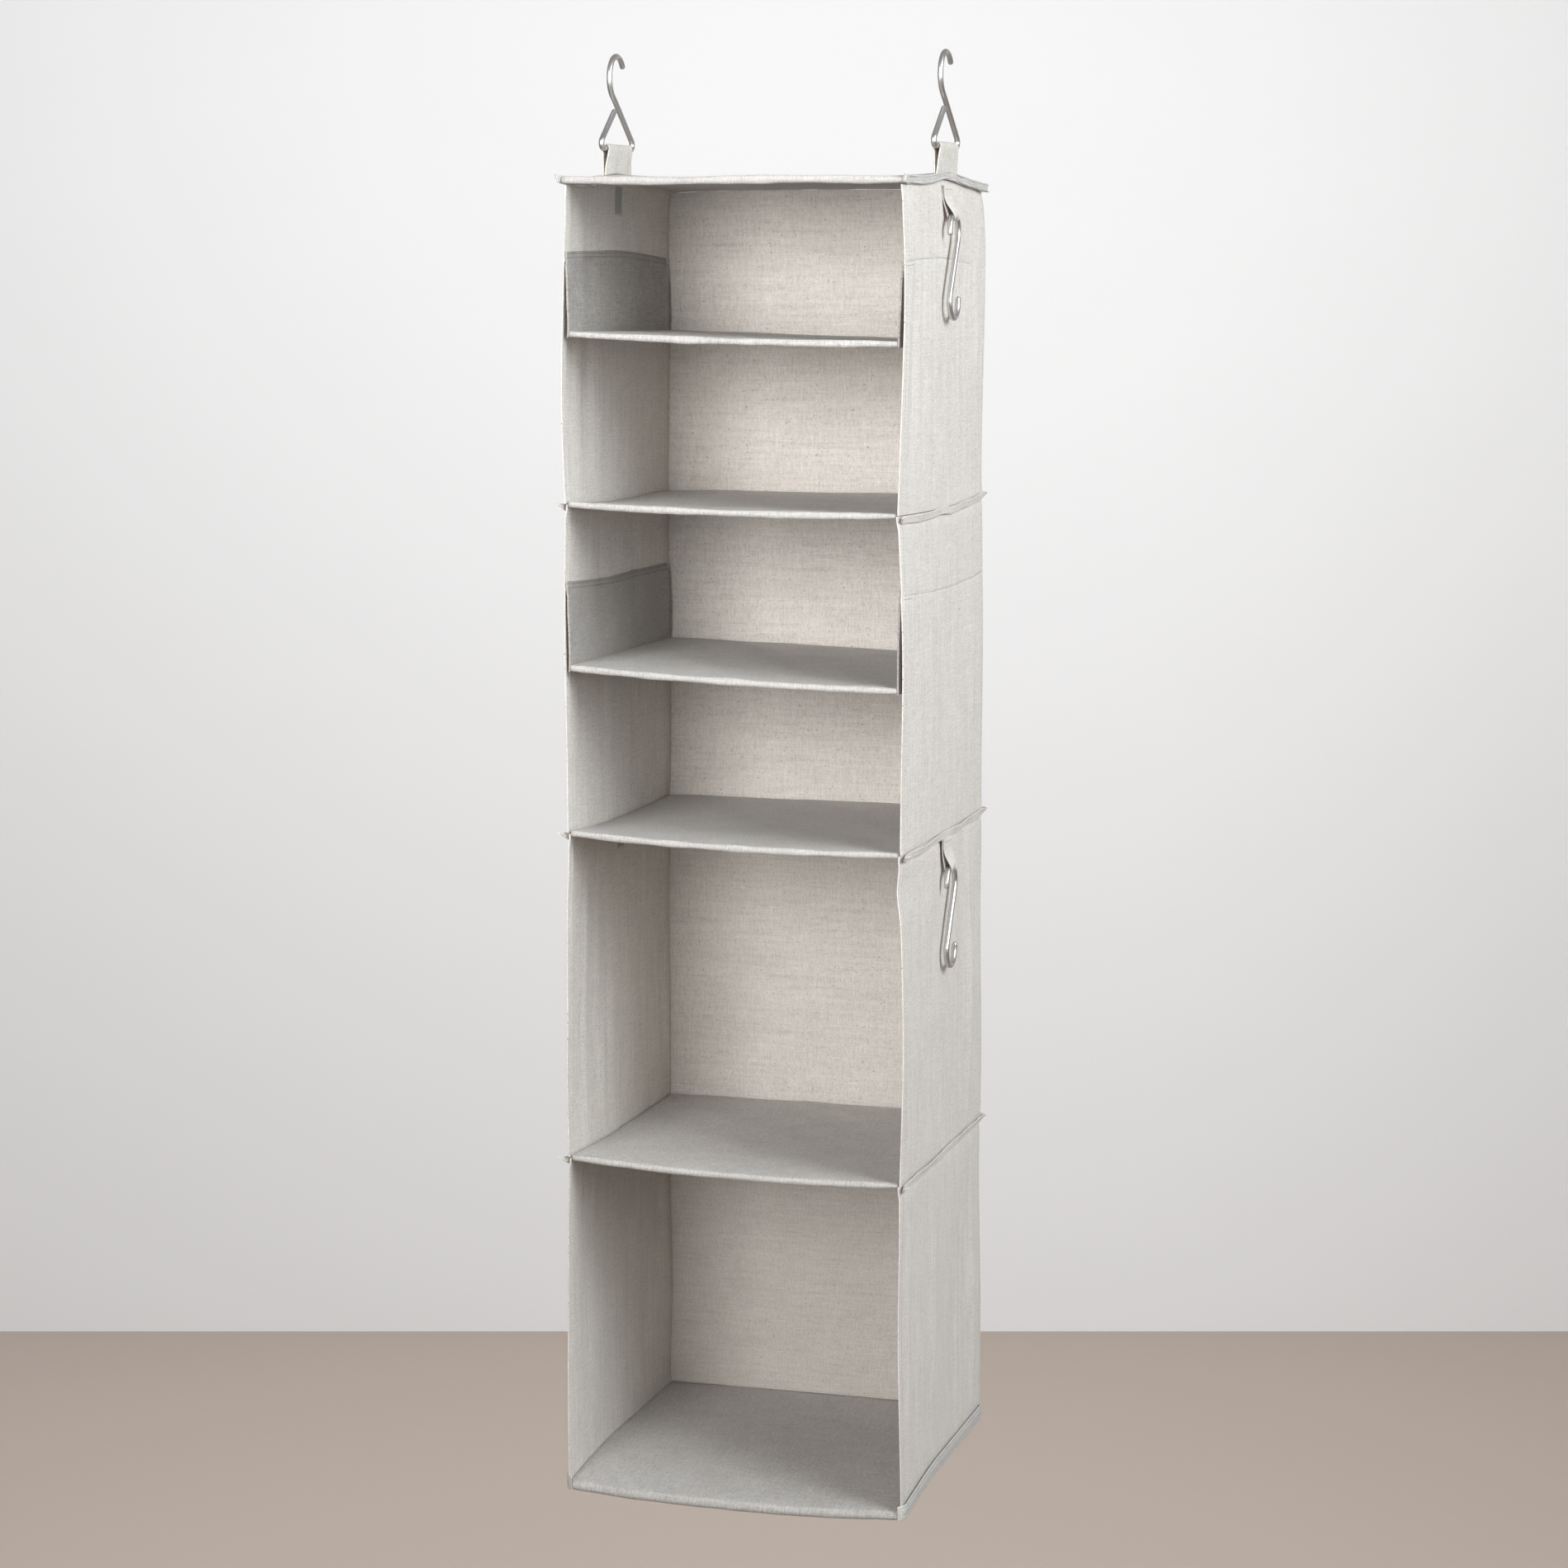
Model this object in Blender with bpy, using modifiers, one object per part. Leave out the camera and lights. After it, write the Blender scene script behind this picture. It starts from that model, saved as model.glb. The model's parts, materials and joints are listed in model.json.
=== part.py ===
"""Hanging closet organizer: six open fabric compartments under two rod hooks.

Metres, +Z up, +X to the right, -Y to the open front. The origin is the closet
rod's centre, midway between the two hooks. Four sewn levels carry the fabric
box; two more shelves sit on slings inside its upper two sections.
"""

import math

import bmesh
import bpy
from mathutils import Matrix, Vector

# ---- overall size -------------------------------------------------------
WIDTH = 0.305
DEPTH = 0.290
GAP = 0.0003  # clearance that neighbouring solids keep

# ---- heights, all measured from the rod's centre ------------------------
TOP_FACE_Z = -0.0900
BOTTOM_FACE_Z = -1.2430
SEWN_SHELF_Z = {"shelf_2": -0.3780, "shelf_4": -0.6660, "shelf_5": -0.9540}
SLING_SHELF_Z = {"shelf_1": -0.2290, "shelf_3": -0.5250}
FLAP_HEIGHT = 0.0745

# ---- walls --------------------------------------------------------------
PANEL_T = 0.0015
HEM_T = 0.0024
HEM_DEPTH = 0.012

# ---- shelves and end panels ---------------------------------------------
SHELF_T = 0.0060
TOP_T = 0.0070
BOTTOM_T = 0.0090
SLEEVE_T = 0.0012
CASE_T = 0.0018
SHELF_INSET = 0.0010
TOP_OVERHANG = 0.0030
BOTTOM_OVERHANG = 0.0015

# ---- sling flaps, seam bands and bottom binding -------------------------
FLAP_T = 0.0012
FLAP_LEAN = 0.0012
FLAP_SEAM_H = 0.0080
FLAP_FRONT_GAP = 0.0020
FLAP_BACK_GAP = 0.0090
BAND_H = 0.0080
BAND_T = 0.0014
BAND_LEAN = 0.0012
BAND_RISE = 0.0005
BINDING_H = 0.0130

# ---- rod hooks and their webbing loops ----------------------------------
WIRE_R = 0.0025
HOOK_X = WIDTH / 2 - 0.0015
HOOK_ARC_R = 0.0195
HOOK_ARC_Z = -0.0010
HOOK_TIP_DEG = 28
HOOK_ARC_END_DEG = 238
HOOK_NECK = (-0.0048, -0.0212)
HOOK_CROSS_Z = -0.0250
HOOK_BASE_Z = -0.0630
HOOK_APEX_Y = 0.0510
HOOK_CORNER_R = 0.0045
HOOK_END_GAP = 0.0011
STRAP_W = 0.072
STRAP_T = 0.0014

# ---- side hooks and the tapes they hang from ----------------------------
SIDE_HOOK_R = 0.0150
SIDE_HOOK_SPAN = 0.0600
SIDE_HOOK_LEG = 0.0040
SIDE_WIRE_X = WIDTH / 2 + 0.0065
SIDE_PIVOT_Z = {"upper": -0.1365, "lower": -0.7105}
TAPE_W = 0.0200
TAPE_T = 0.0012
TAPE_CLEAR = 0.0004
TAPE_TOP_Z = {
    "upper": TOP_FACE_Z - TOP_T - GAP,
    "lower": SEWN_SHELF_Z["shelf_4"] - BAND_H - GAP,
}

# name: (red, green, blue, metallic, roughness)
FINISHES = {
    "linen": (0.72, 0.69, 0.64, 0.0, 0.9),
    "grey_weave": (0.42, 0.41, 0.40, 0.0, 0.9),
    "board": (0.45, 0.34, 0.22, 0.0, 0.8),
    "steel": (0.62, 0.62, 0.61, 1.0, 0.3),
}
UPRIGHT = Matrix.Rotation(math.radians(90), 4, "X")


def clear_scene():
    for obj in list(bpy.data.objects):
        bpy.data.objects.remove(obj, do_unlink=True)


def new_collection(name, hidden=False):
    collection = bpy.data.collections.new(name)
    collection.hide_render = hidden
    bpy.context.scene.collection.children.link(collection)
    return collection


def finish_piece(obj, finish):
    """Links the piece and gives it a material of its own."""
    red, green, blue, metallic, roughness = FINISHES[finish]
    material = bpy.data.materials.new(obj.name + "_" + finish)
    material.use_nodes = True
    shader = material.node_tree.nodes["Principled BSDF"]
    shader.inputs["Base Color"].default_value = (red, green, blue, 1.0)
    shader.inputs["Metallic"].default_value = metallic
    shader.inputs["Roughness"].default_value = roughness
    obj.data.materials.append(material)
    PARTS.objects.link(obj)
    return obj


def mesh_object(name, shape):
    mesh = bpy.data.meshes.new(name)
    bmesh.ops.recalc_face_normals(shape, faces=shape.faces)
    shape.to_mesh(mesh)
    shape.free()
    return bpy.data.objects.new(name, mesh)


def box_object(name, low, high):
    """A box between two corners, as an object with its origin at the box's centre."""
    low, high = Vector(low), Vector(high)
    shape = bmesh.new()
    bmesh.ops.create_cube(shape, size=1.0)
    bmesh.ops.scale(shape, vec=high - low, verts=shape.verts)
    obj = mesh_object(name, shape)
    obj.location = (low + high) / 2
    return obj


def outline_object(name, points, length, place):
    """A closed flat outline, extruded by half the length each way along its own Z."""
    curve = bpy.data.curves.new(name, "CURVE")
    curve.dimensions = "2D"
    curve.fill_mode = "BOTH"
    curve.extrude = length / 2
    spline = curve.splines.new("POLY")
    spline.points.add(len(points) - 1)
    spline.use_cyclic_u = True
    for point, (along, up) in zip(spline.points, points):
        point.co = (along, up, 0.0, 1.0)
    obj = bpy.data.objects.new(name, curve)
    obj.matrix_world = place
    return obj


def wire_object(name, path, pivot):
    """A round wire along (y, z) points in the plane of its pivot, with its origin there."""
    curve = bpy.data.curves.new(name, "CURVE")
    curve.dimensions = "3D"
    curve.bevel_depth = WIRE_R
    curve.bevel_resolution = 2
    curve.use_fill_caps = True
    spline = curve.splines.new("POLY")
    spline.points.add(len(path) - 1)
    for point, (y, z) in zip(spline.points, path):
        point.co = (0.0, y - pivot[1], z - pivot[2], 1.0)
    obj = bpy.data.objects.new(name, curve)
    obj.location = pivot
    return obj


def arc(centre, radius, start_deg, end_deg, steps):
    """Points (a, b) round a centre, by angle from the first axis towards the second."""
    found = []
    for step in range(steps + 1):
        angle = math.radians(start_deg + (end_deg - start_deg) * step / steps)
        found.append((centre[0] + radius * math.cos(angle), centre[1] + radius * math.sin(angle)))
    return found


def covered_board(name, low, high, wall, radius):
    """A stiff board inside a rounded fabric cover that is open along its back seam."""
    cover = finish_piece(box_object(name + "_cover", low, high), "grey_weave")
    bevel = cover.modifiers.new("Rolled edges", "BEVEL")
    bevel.width = radius
    bevel.segments = 3
    inset = wall + 0.3 * radius
    slot_low = Vector((low[0] + inset, low[1] + inset, low[2] + wall))
    slot_high = Vector((high[0] - inset, high[1] + wall, high[2] - wall))
    cutter = box_object(name + "_pocket", slot_low, slot_high)
    cutter.hide_render = True
    cutter.display_type = "WIRE"
    CUTTERS.objects.link(cutter)
    pocket = cover.modifiers.new("Board pocket", "BOOLEAN")
    pocket.operation = "DIFFERENCE"
    pocket.solver = "EXACT"
    pocket.object = cutter
    board_low = slot_low + Vector((GAP, GAP, GAP))
    board_high = Vector((slot_high.x - GAP, high[1] - wall, slot_high.z - GAP))
    finish_piece(box_object(name + "_board", board_low, board_high), "board")


def shelf(name, z, half_x):
    low = (-half_x, -DEPTH / 2 + SHELF_INSET, z - SHELF_T / 2)
    high = (half_x, DEPTH / 2 - PANEL_T - GAP, z + SHELF_T / 2)
    covered_board(name, low, high, SLEEVE_T, SHELF_T * 0.45)


def end_panel(name, low_z, high_z, overhang):
    half_x = WIDTH / 2 + overhang
    low = (-half_x, -DEPTH / 2 - BOTTOM_OVERHANG, low_z)
    high = (half_x, DEPTH / 2 + overhang, high_z)
    covered_board(name, low, high, CASE_T, (high_z - low_z) * 0.42)


def side_panel(name, side, low_z, high_z):
    """A side wall of one section, with a thicker hem along its front edge."""
    front, back = -DEPTH / 2, DEPTH / 2
    outer, inner, hem = WIDTH / 2, WIDTH / 2 - PANEL_T, WIDTH / 2 - HEM_T
    plan = [
        (side * outer, front),
        (side * outer, back),
        (side * inner, back),
        (side * inner, front + HEM_DEPTH + (HEM_T - PANEL_T)),
        (side * hem, front + HEM_DEPTH),
        (side * hem, front),
    ]
    place = Matrix.Translation((0.0, 0.0, (low_z + high_z) / 2))
    finish_piece(outline_object(name, plan, high_z - low_z, place), "linen")


def back_panel(name, low_z, high_z):
    half_x = WIDTH / 2 - PANEL_T - GAP
    low = (-half_x, DEPTH / 2 - PANEL_T, low_z)
    finish_piece(box_object(name, low, (half_x, DEPTH / 2, high_z)), "linen")


def sling_flap(name, side, shelf_z):
    """A flap that a sling shelf hangs from: sewn to the wall on top, leaning inwards below."""
    wall = WIDTH / 2 - HEM_T - GAP
    front = -DEPTH / 2 + FLAP_FRONT_GAP
    back = DEPTH / 2 - FLAP_BACK_GAP
    top_z = shelf_z + FLAP_HEIGHT
    low_z = shelf_z - SHELF_T / 2
    section = [
        (side * wall, top_z),
        (side * wall, top_z - FLAP_SEAM_H),
        (side * (wall - FLAP_LEAN), low_z),
        (side * (wall - FLAP_LEAN - FLAP_T), low_z),
        (side * (wall - FLAP_T), top_z - FLAP_SEAM_H),
        (side * (wall - FLAP_T), top_z),
    ]
    place = Matrix.Translation((0.0, (front + back) / 2, 0.0)) @ UPRIGHT
    finish_piece(outline_object(name, section, back - front, place), "grey_weave")


def seam_band(name, top_z, height, lean, offset, finish):
    """A folded seam allowance down both sides and across the back: one strip, thickened."""
    middle = offset + BAND_T / 2
    shape = bmesh.new()
    low_ring, high_ring = [], []
    for side_x, end_y, out_y in ((-1, -1, 0), (-1, 1, 1), (1, 1, 1), (1, -1, 0)):
        for ring, out, z in ((high_ring, middle, top_z), (low_ring, middle + lean, top_z - height)):
            x = side_x * (WIDTH / 2 + out)
            y = end_y * DEPTH / 2 + out_y * out
            ring.append(shape.verts.new((x, y, z)))
    for index in range(3):
        shape.faces.new((low_ring[index], low_ring[index + 1], high_ring[index + 1], high_ring[index]))
    band = finish_piece(mesh_object(name, shape), finish)
    solidify = band.modifiers.new("Thickness", "SOLIDIFY")
    solidify.thickness = BAND_T
    solidify.offset = 0.0
    solidify.use_even_offset = True


def rod_hook(name, x):
    """One bent wire: an open arc over the rod, a crossed neck and a wide triangular base."""
    slope = math.atan2(HOOK_CROSS_Z - HOOK_BASE_Z, HOOK_APEX_Y)
    slope_deg = math.degrees(slope)
    corner_y = HOOK_APEX_Y - HOOK_CORNER_R / math.tan(slope / 2)
    corner_z = HOOK_BASE_Z + HOOK_CORNER_R
    path = arc((0.0, HOOK_ARC_Z), HOOK_ARC_R, HOOK_TIP_DEG, HOOK_ARC_END_DEG, 20)
    path.append(HOOK_NECK)
    path += arc((corner_y, corner_z), HOOK_CORNER_R, 90 - slope_deg, -90, 7)
    path += arc((-corner_y, corner_z), HOOK_CORNER_R, 270, 90 + slope_deg, 7)
    clear = (2 * WIRE_R + HOOK_END_GAP) / math.sin(2 * slope)
    path.append((-clear * math.cos(slope), HOOK_CROSS_Z - clear * math.sin(slope)))
    finish_piece(wire_object(name, path, (x, 0.0, HOOK_BASE_Z)), "steel")


def strap(name, x):
    """A wide webbing loop over the hook's base bar, both plies sewn to the top panel."""
    inner = WIRE_R + GAP
    outer = inner + STRAP_T
    foot = TOP_FACE_Z + GAP
    outside = arc((x, HOOK_BASE_Z), outer, 0, 180, 6)
    inside = arc((x, HOOK_BASE_Z), inner, 180, 0, 6)
    section = [(x + outer, foot)] + outside + [(x - outer, foot)]
    section += [(x - inner, foot)] + inside + [(x + inner, foot)]
    finish_piece(outline_object(name, section, STRAP_W, UPRIGHT), "linen")


def side_hook(name, side, pivot_z):
    """An S-shaped wire: its upper bend hangs in a tape, its lower bend stays open."""
    turn = math.degrees(math.asin(2 * SIDE_HOOK_R / SIDE_HOOK_SPAN))
    low_z = pivot_z - SIDE_HOOK_SPAN
    path = [(-SIDE_HOOK_R, pivot_z - SIDE_HOOK_LEG)]
    path += arc((0.0, pivot_z), SIDE_HOOK_R, 180, -turn, 14)
    path += arc((0.0, low_z), SIDE_HOOK_R, 180 - turn, 360, 14)
    path.append((SIDE_HOOK_R, low_z + SIDE_HOOK_LEG))
    finish_piece(wire_object(name, path, (side * SIDE_WIRE_X, 0.0, pivot_z)), "steel")


def hook_tape(name, side, top_z, pivot_z):
    """A tape loop under a side hook's upper bend: a loft, because its fold arches with the wire."""
    inner = WIRE_R + TAPE_CLEAR
    outer = inner + TAPE_T
    reach = SIDE_HOOK_R - WIRE_R - TAPE_CLEAR
    stations = 8
    shape = bmesh.new()
    rings = []
    for station in range(stations + 1):
        y = TAPE_W * (station / stations - 0.5)
        fold_z = pivot_z + math.sqrt(reach * reach - y * y)
        section = [
            (-outer, top_z),
            (-outer, fold_z),
            (-outer * 0.7, fold_z - TAPE_T),
            (outer * 0.7, fold_z - TAPE_T),
            (outer, fold_z),
            (outer, top_z),
            (inner, top_z),
            (inner, fold_z),
            (-inner, fold_z),
            (-inner, top_z),
        ]
        rings.append([shape.verts.new((side * (SIDE_WIRE_X + out), y, z)) for out, z in section])
    for ring, after in zip(rings, rings[1:]):
        for index in range(len(ring)):
            shape.faces.new((ring[index - 1], ring[index], after[index], after[index - 1]))
    shape.faces.new(rings[0])
    shape.faces.new(rings[-1])
    finish_piece(mesh_object(name, shape), "linen")


clear_scene()
PARTS = new_collection("hanging_organizer")
CUTTERS = new_collection("cutters", hidden=True)

# Top and bottom panels close the fabric box.
end_panel("top", TOP_FACE_Z - TOP_T, TOP_FACE_Z, TOP_OVERHANG)
end_panel("bottom", BOTTOM_FACE_Z, BOTTOM_FACE_Z + BOTTOM_T, BOTTOM_OVERHANG)

# Sewn shelves fill the box; sling shelves are narrower and hang from flaps.
for shelf_name, shelf_z in SEWN_SHELF_Z.items():
    shelf(shelf_name, shelf_z, WIDTH / 2 - HEM_T - GAP)
for shelf_name, shelf_z in SLING_SHELF_Z.items():
    shelf(shelf_name, shelf_z, WIDTH / 2 - HEM_T - FLAP_LEAN - FLAP_T - 2 * GAP)
    sling_flap(shelf_name + "_flap_left", -1, shelf_z)
    sling_flap(shelf_name + "_flap_right", 1, shelf_z)

# Four sections of side and back panels, one above the other.
SEAMS_Z = [TOP_FACE_Z - TOP_T, *SEWN_SHELF_Z.values(), BOTTOM_FACE_Z + BOTTOM_T]
for section, (above, below) in enumerate(zip(SEAMS_Z, SEAMS_Z[1:]), start=1):
    side_panel(f"side_left_{section}", -1, below + GAP, above - GAP)
    side_panel(f"side_right_{section}", 1, below + GAP, above - GAP)
    back_panel(f"back_{section}", below + GAP, above - GAP)

# Seam allowances folded down outside each sewn shelf, and the bottom binding.
for shelf_name, shelf_z in SEWN_SHELF_Z.items():
    band_name = shelf_name.replace("shelf", "seam_band")
    seam_band(band_name, shelf_z + BAND_RISE, BAND_H, BAND_LEAN, GAP, "linen")
BINDING_TOP_Z = BOTTOM_FACE_Z + BINDING_H
seam_band("bottom_binding", BINDING_TOP_Z, BINDING_H - GAP, 0.0, BOTTOM_OVERHANG + GAP, "grey_weave")

# Hooks over the rod with their webbing loops, and side hooks in their tapes.
for side_name, sign in (("left", -1), ("right", 1)):
    rod_hook("rod_hook_" + side_name, sign * HOOK_X)
    strap("strap_" + side_name, sign * HOOK_X)
    for row, pivot_z in SIDE_PIVOT_Z.items():
        side_hook(f"side_hook_{row}_{side_name}", sign, pivot_z)
        hook_tape(f"hook_tape_{row}_{side_name}", sign, TAPE_TOP_Z[row], pivot_z)
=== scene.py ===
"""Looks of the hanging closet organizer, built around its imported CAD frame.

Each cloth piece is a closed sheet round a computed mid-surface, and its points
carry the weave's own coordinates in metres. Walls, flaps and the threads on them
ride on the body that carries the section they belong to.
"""

import json
import math
import random
from collections import namedtuple

import bmesh
import bpy
import numpy as np
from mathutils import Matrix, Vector


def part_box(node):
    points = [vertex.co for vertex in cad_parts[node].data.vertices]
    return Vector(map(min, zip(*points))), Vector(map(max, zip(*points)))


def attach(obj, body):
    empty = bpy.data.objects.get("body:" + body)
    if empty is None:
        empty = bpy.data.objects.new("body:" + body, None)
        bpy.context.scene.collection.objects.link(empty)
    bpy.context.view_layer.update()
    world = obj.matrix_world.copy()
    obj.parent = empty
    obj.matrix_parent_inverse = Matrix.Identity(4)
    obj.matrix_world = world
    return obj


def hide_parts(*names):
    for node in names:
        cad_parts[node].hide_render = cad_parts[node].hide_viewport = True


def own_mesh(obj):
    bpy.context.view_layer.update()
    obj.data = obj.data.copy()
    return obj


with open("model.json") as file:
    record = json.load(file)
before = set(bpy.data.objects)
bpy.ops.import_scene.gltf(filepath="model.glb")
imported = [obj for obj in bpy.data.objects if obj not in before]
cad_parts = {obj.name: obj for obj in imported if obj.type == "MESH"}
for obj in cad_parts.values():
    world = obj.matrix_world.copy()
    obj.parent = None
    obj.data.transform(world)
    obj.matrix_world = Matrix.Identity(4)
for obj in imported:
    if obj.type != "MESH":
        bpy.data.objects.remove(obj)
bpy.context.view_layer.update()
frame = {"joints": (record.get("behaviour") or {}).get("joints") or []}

MM = 0.001
SIDES = {"left": -1, "right": 1}

# ---- cloth ----
WALL_T = 0.9 * MM
HEM_T = 1.1 * MM
HEM_W = 12 * MM
HEM_STITCH = 10.5 * MM
FLAP_T = 1.1 * MM
SLEEVE_T = 1.0 * MM
BAND_T = 1.0 * MM
BAND_PLY = 0.7 * MM
FOLD_GAP = 0.12 * MM
EDGE = 0.5 * MM
STITCH_PITCH = 3.2 * MM
CLOSE_PITCH = 2.6 * MM
STITCH_GAP = 0.9 * MM
BACK_STITCH = 5 * MM
THREAD_R = 0.28 * MM
OVERLOCK_R = 0.22 * MM
PATCH_R = 0.3 * MM
PATCH_COLUMNS = 17
PATCH_STEP = 1.1 * MM
PATCH_DROP_MM = 24.0
STRAP_PLY = 1.3 * MM
STRAP_NARROWS = 0.13
TAPE_PLY = 1.0 * MM
TAPE_ROOT_W = 27 * MM
TAPE_BUNCHED = 0.55

# ---- steel wire, bent as the CAD hooks are ----
HOOK_ARC_R = 19.5 * MM
HOOK_ARC_Z = -1.0 * MM
HOOK_TIP_DEG = 28
HOOK_ARC_END_DEG = 238
HOOK_NECK = (-4.8 * MM, -21.2 * MM)
HOOK_CROSS_Z = -25.0 * MM
HOOK_APEX_Y = 51.0 * MM
HOOK_CORNER_R = 4.5 * MM
HOOK_END_GAP = 1.1 * MM
SIDE_HOOK_R = 15.0 * MM
SIDE_HOOK_SPAN = 60.0 * MM
SIDE_HOOK_LEG = 4.0 * MM

# ---- places read from the frame ----
WALL_LOW, WALL_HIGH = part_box("side_right_1")
HALF_W = WALL_HIGH.x
FRONT = WALL_LOW.y
BACK = WALL_HIGH.y
DEPTH = BACK - FRONT
Section = namedtuple("Section", "number body joint top low travel")


def read_sections():
    """The four cloth sections: what each rides on, its joint, its height, and how far it folds."""
    travel = {joint["name"]: joint["range_m"][1] for joint in frame["joints"] if joint["type"] == "slide"}
    found = {}
    for number, body in enumerate(("organizer", "level_2", "level_4", "level_5"), start=1):
        low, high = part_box(f"side_right_{number}")
        joint = f"section_{number}_collapse"
        found[number] = Section(number, body, joint, high.z, low.z, travel[joint])
    return found


SECTIONS = read_sections()
FLAP_SECTIONS = {"shelf_1": SECTIONS[1], "shelf_3": SECTIONS[2]}


# ---- small shapes of cloth ----
def unit(value):
    return np.clip(value, 0, 1)


def bump(value, centre, spread):
    return np.exp(-(((value - centre) / spread) ** 2))


def make_creases(seed, width, height, count, size):
    """Soft upright creases, each with its own place, slant and reach, as a function of metres."""
    draw = random.Random(seed)
    creases = [
        (
            draw.uniform(0.08, 0.95) * width,
            draw.uniform(5, 13) * MM,
            draw.choice((-0.45, 1)) * draw.uniform(0.4, 1.0) * size,
            draw.uniform(-0.05, 0.05),
            draw.uniform(0.1, 0.9) * height,
            draw.uniform(0.35, 0.8) * height,
        )
        for _ in range(count)
    ]

    def creased(across, down):
        total = np.zeros(np.broadcast(across, down).shape)
        for place, spread, depth, slant, middle, reach in creases:
            line = place + slant * (down - middle)
            total += depth * bump(across, line, spread) * bump(down, middle, reach)
        return total

    return creased


def make_waves(seed, size, shortest, longest, count=6):
    """A slow uneven swell, as a function of two distances in metres."""
    draw = random.Random(seed)
    waves = [
        (
            size / count**0.5,
            2 * math.pi / draw.uniform(shortest, longest) * draw.choice((-1, 1)),
            2 * math.pi / draw.uniform(shortest, longest),
            draw.uniform(0, 2 * math.pi),
        )
        for _ in range(count)
    ]

    def swell(along, across):
        return sum(h * np.sin(a * along + b * across + phase) for h, a, b, phase in waves)

    return swell


class Path:
    """A flat polyline that can be read at any distance along it, with its sideways direction."""

    def __init__(self, points):
        self.points = np.array(points, float)
        steps = np.linalg.norm(np.diff(self.points, axis=0), axis=1)
        self.distances = np.concatenate([[0.0], np.cumsum(steps)])
        self.length = self.distances[-1]
        along = np.gradient(self.points, self.distances, axis=0)
        along /= np.linalg.norm(along, axis=1, keepdims=True)
        self.sideways = np.stack([along[:, 1], -along[:, 0]], axis=1)

    def at(self, distance):
        return [np.interp(distance, self.distances, self.points[:, axis]) for axis in (0, 1)]

    def side_at(self, distance):
        return [np.interp(distance, self.distances, self.sideways[:, axis]) for axis in (0, 1)]


def arc(centre, radius, start_deg, end_deg, steps):
    angles = np.radians(np.linspace(start_deg, end_deg, steps + 1))
    return [(centre[0] + radius * math.cos(a), centre[1] + radius * math.sin(a)) for a in angles]


# ---- mesh builders ----
def stations(length, step, lines=()):
    """Distances along a cloth, closer together at its two edges and beside each line."""
    inner = np.linspace(EDGE, length - EDGE, max(2, round(length / step)) + 1)
    rim = EDGE * np.array([0.0, 0.12, 0.45])
    near = [line + shift * MM for line in lines for shift in (-3, -1.6, -0.7, 0, 0.7, 1.6, 3)]
    near = [distance for distance in near if EDGE < distance < length - EDGE]
    merged = np.sort(np.concatenate([rim, inner, length - rim, near]))
    keep = np.concatenate([[True], np.diff(merged) > 0.03 * MM])
    return merged[keep]


def quads(index):
    return np.stack([index[:-1, :-1], index[1:, :-1], index[1:, 1:], index[:-1, 1:]], axis=-1).reshape(-1, 4)


def follow(piece, carrier):
    """Rides on a body, or on the body that carries a section; a section's piece gets a mesh of its own."""
    if not isinstance(carrier, Section):
        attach(piece, carrier)
        return
    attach(piece, carrier.body)
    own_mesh(piece)


def stand_for(piece, node, carrier):
    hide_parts(node)
    follow(piece, carrier)


def face_outwards(obj):
    shape = bmesh.new()
    shape.from_mesh(obj.data)
    bmesh.ops.recalc_face_normals(shape, faces=shape.faces)
    shape.to_mesh(obj.data)
    shape.free()


def mesh_object(name, points, faces, coordinates, finish):
    mesh = bpy.data.meshes.new(name)
    mesh.from_pydata(points.tolist(), [], [list(map(int, face)) for face in faces])
    mesh.attributes.new("cloth_uv", "FLOAT_VECTOR", "POINT").data.foreach_set("vector", coordinates.ravel())
    mesh.shade_smooth()
    mesh.materials.append(finish)
    obj = bpy.data.objects.new(name, mesh)
    bpy.context.scene.collection.objects.link(obj)
    return obj


def cloth(name, us, vs, place, thickness, finish, warp_across=False):
    """A closed sheet: place(u, v) is its mid-surface, and thickness(u, v) or a number its thickness."""
    u, v = np.meshgrid(us, vs, indexing="ij")
    middle = np.stack(np.broadcast_arrays(*place(u, v)), axis=-1)
    normal = np.cross(np.gradient(middle, us, axis=0), np.gradient(middle, vs, axis=1))
    normal /= np.linalg.norm(normal, axis=2, keepdims=True)
    inset = np.minimum.reduce([u - us[0], us[-1] - u, v - vs[0], vs[-1] - v])
    curl = np.sqrt(1 - (1 - unit(inset / EDGE)) ** 2)
    half = 0.5 * (thickness(u, v) if callable(thickness) else thickness) * curl
    front = middle + normal * half[..., None]
    rear = middle - normal * half[..., None]
    rows, columns = u.shape
    front_index = np.arange(rows * columns).reshape(rows, columns)
    rear_index = front_index.copy()
    inner = (rows - 2) * (columns - 2)
    rear_index[1:-1, 1:-1] = rows * columns + np.arange(inner).reshape(rows - 2, columns - 2)
    points = np.concatenate([front.reshape(-1, 3), rear[1:-1, 1:-1].reshape(-1, 3)])
    seed = (sum(map(ord, name)) % 97) * 0.173
    warp, weft = (v, u) if warp_across else (u, v)
    weave = np.stack([warp + seed, weft + 2 * seed, 0 * u + seed], axis=-1)
    coordinates = np.concatenate([weave.reshape(-1, 3), weave[1:-1, 1:-1].reshape(-1, 3)])
    faces = np.concatenate([quads(front_index), quads(rear_index)[:, ::-1]])
    return mesh_object(name, points, faces, coordinates, finish)


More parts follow.
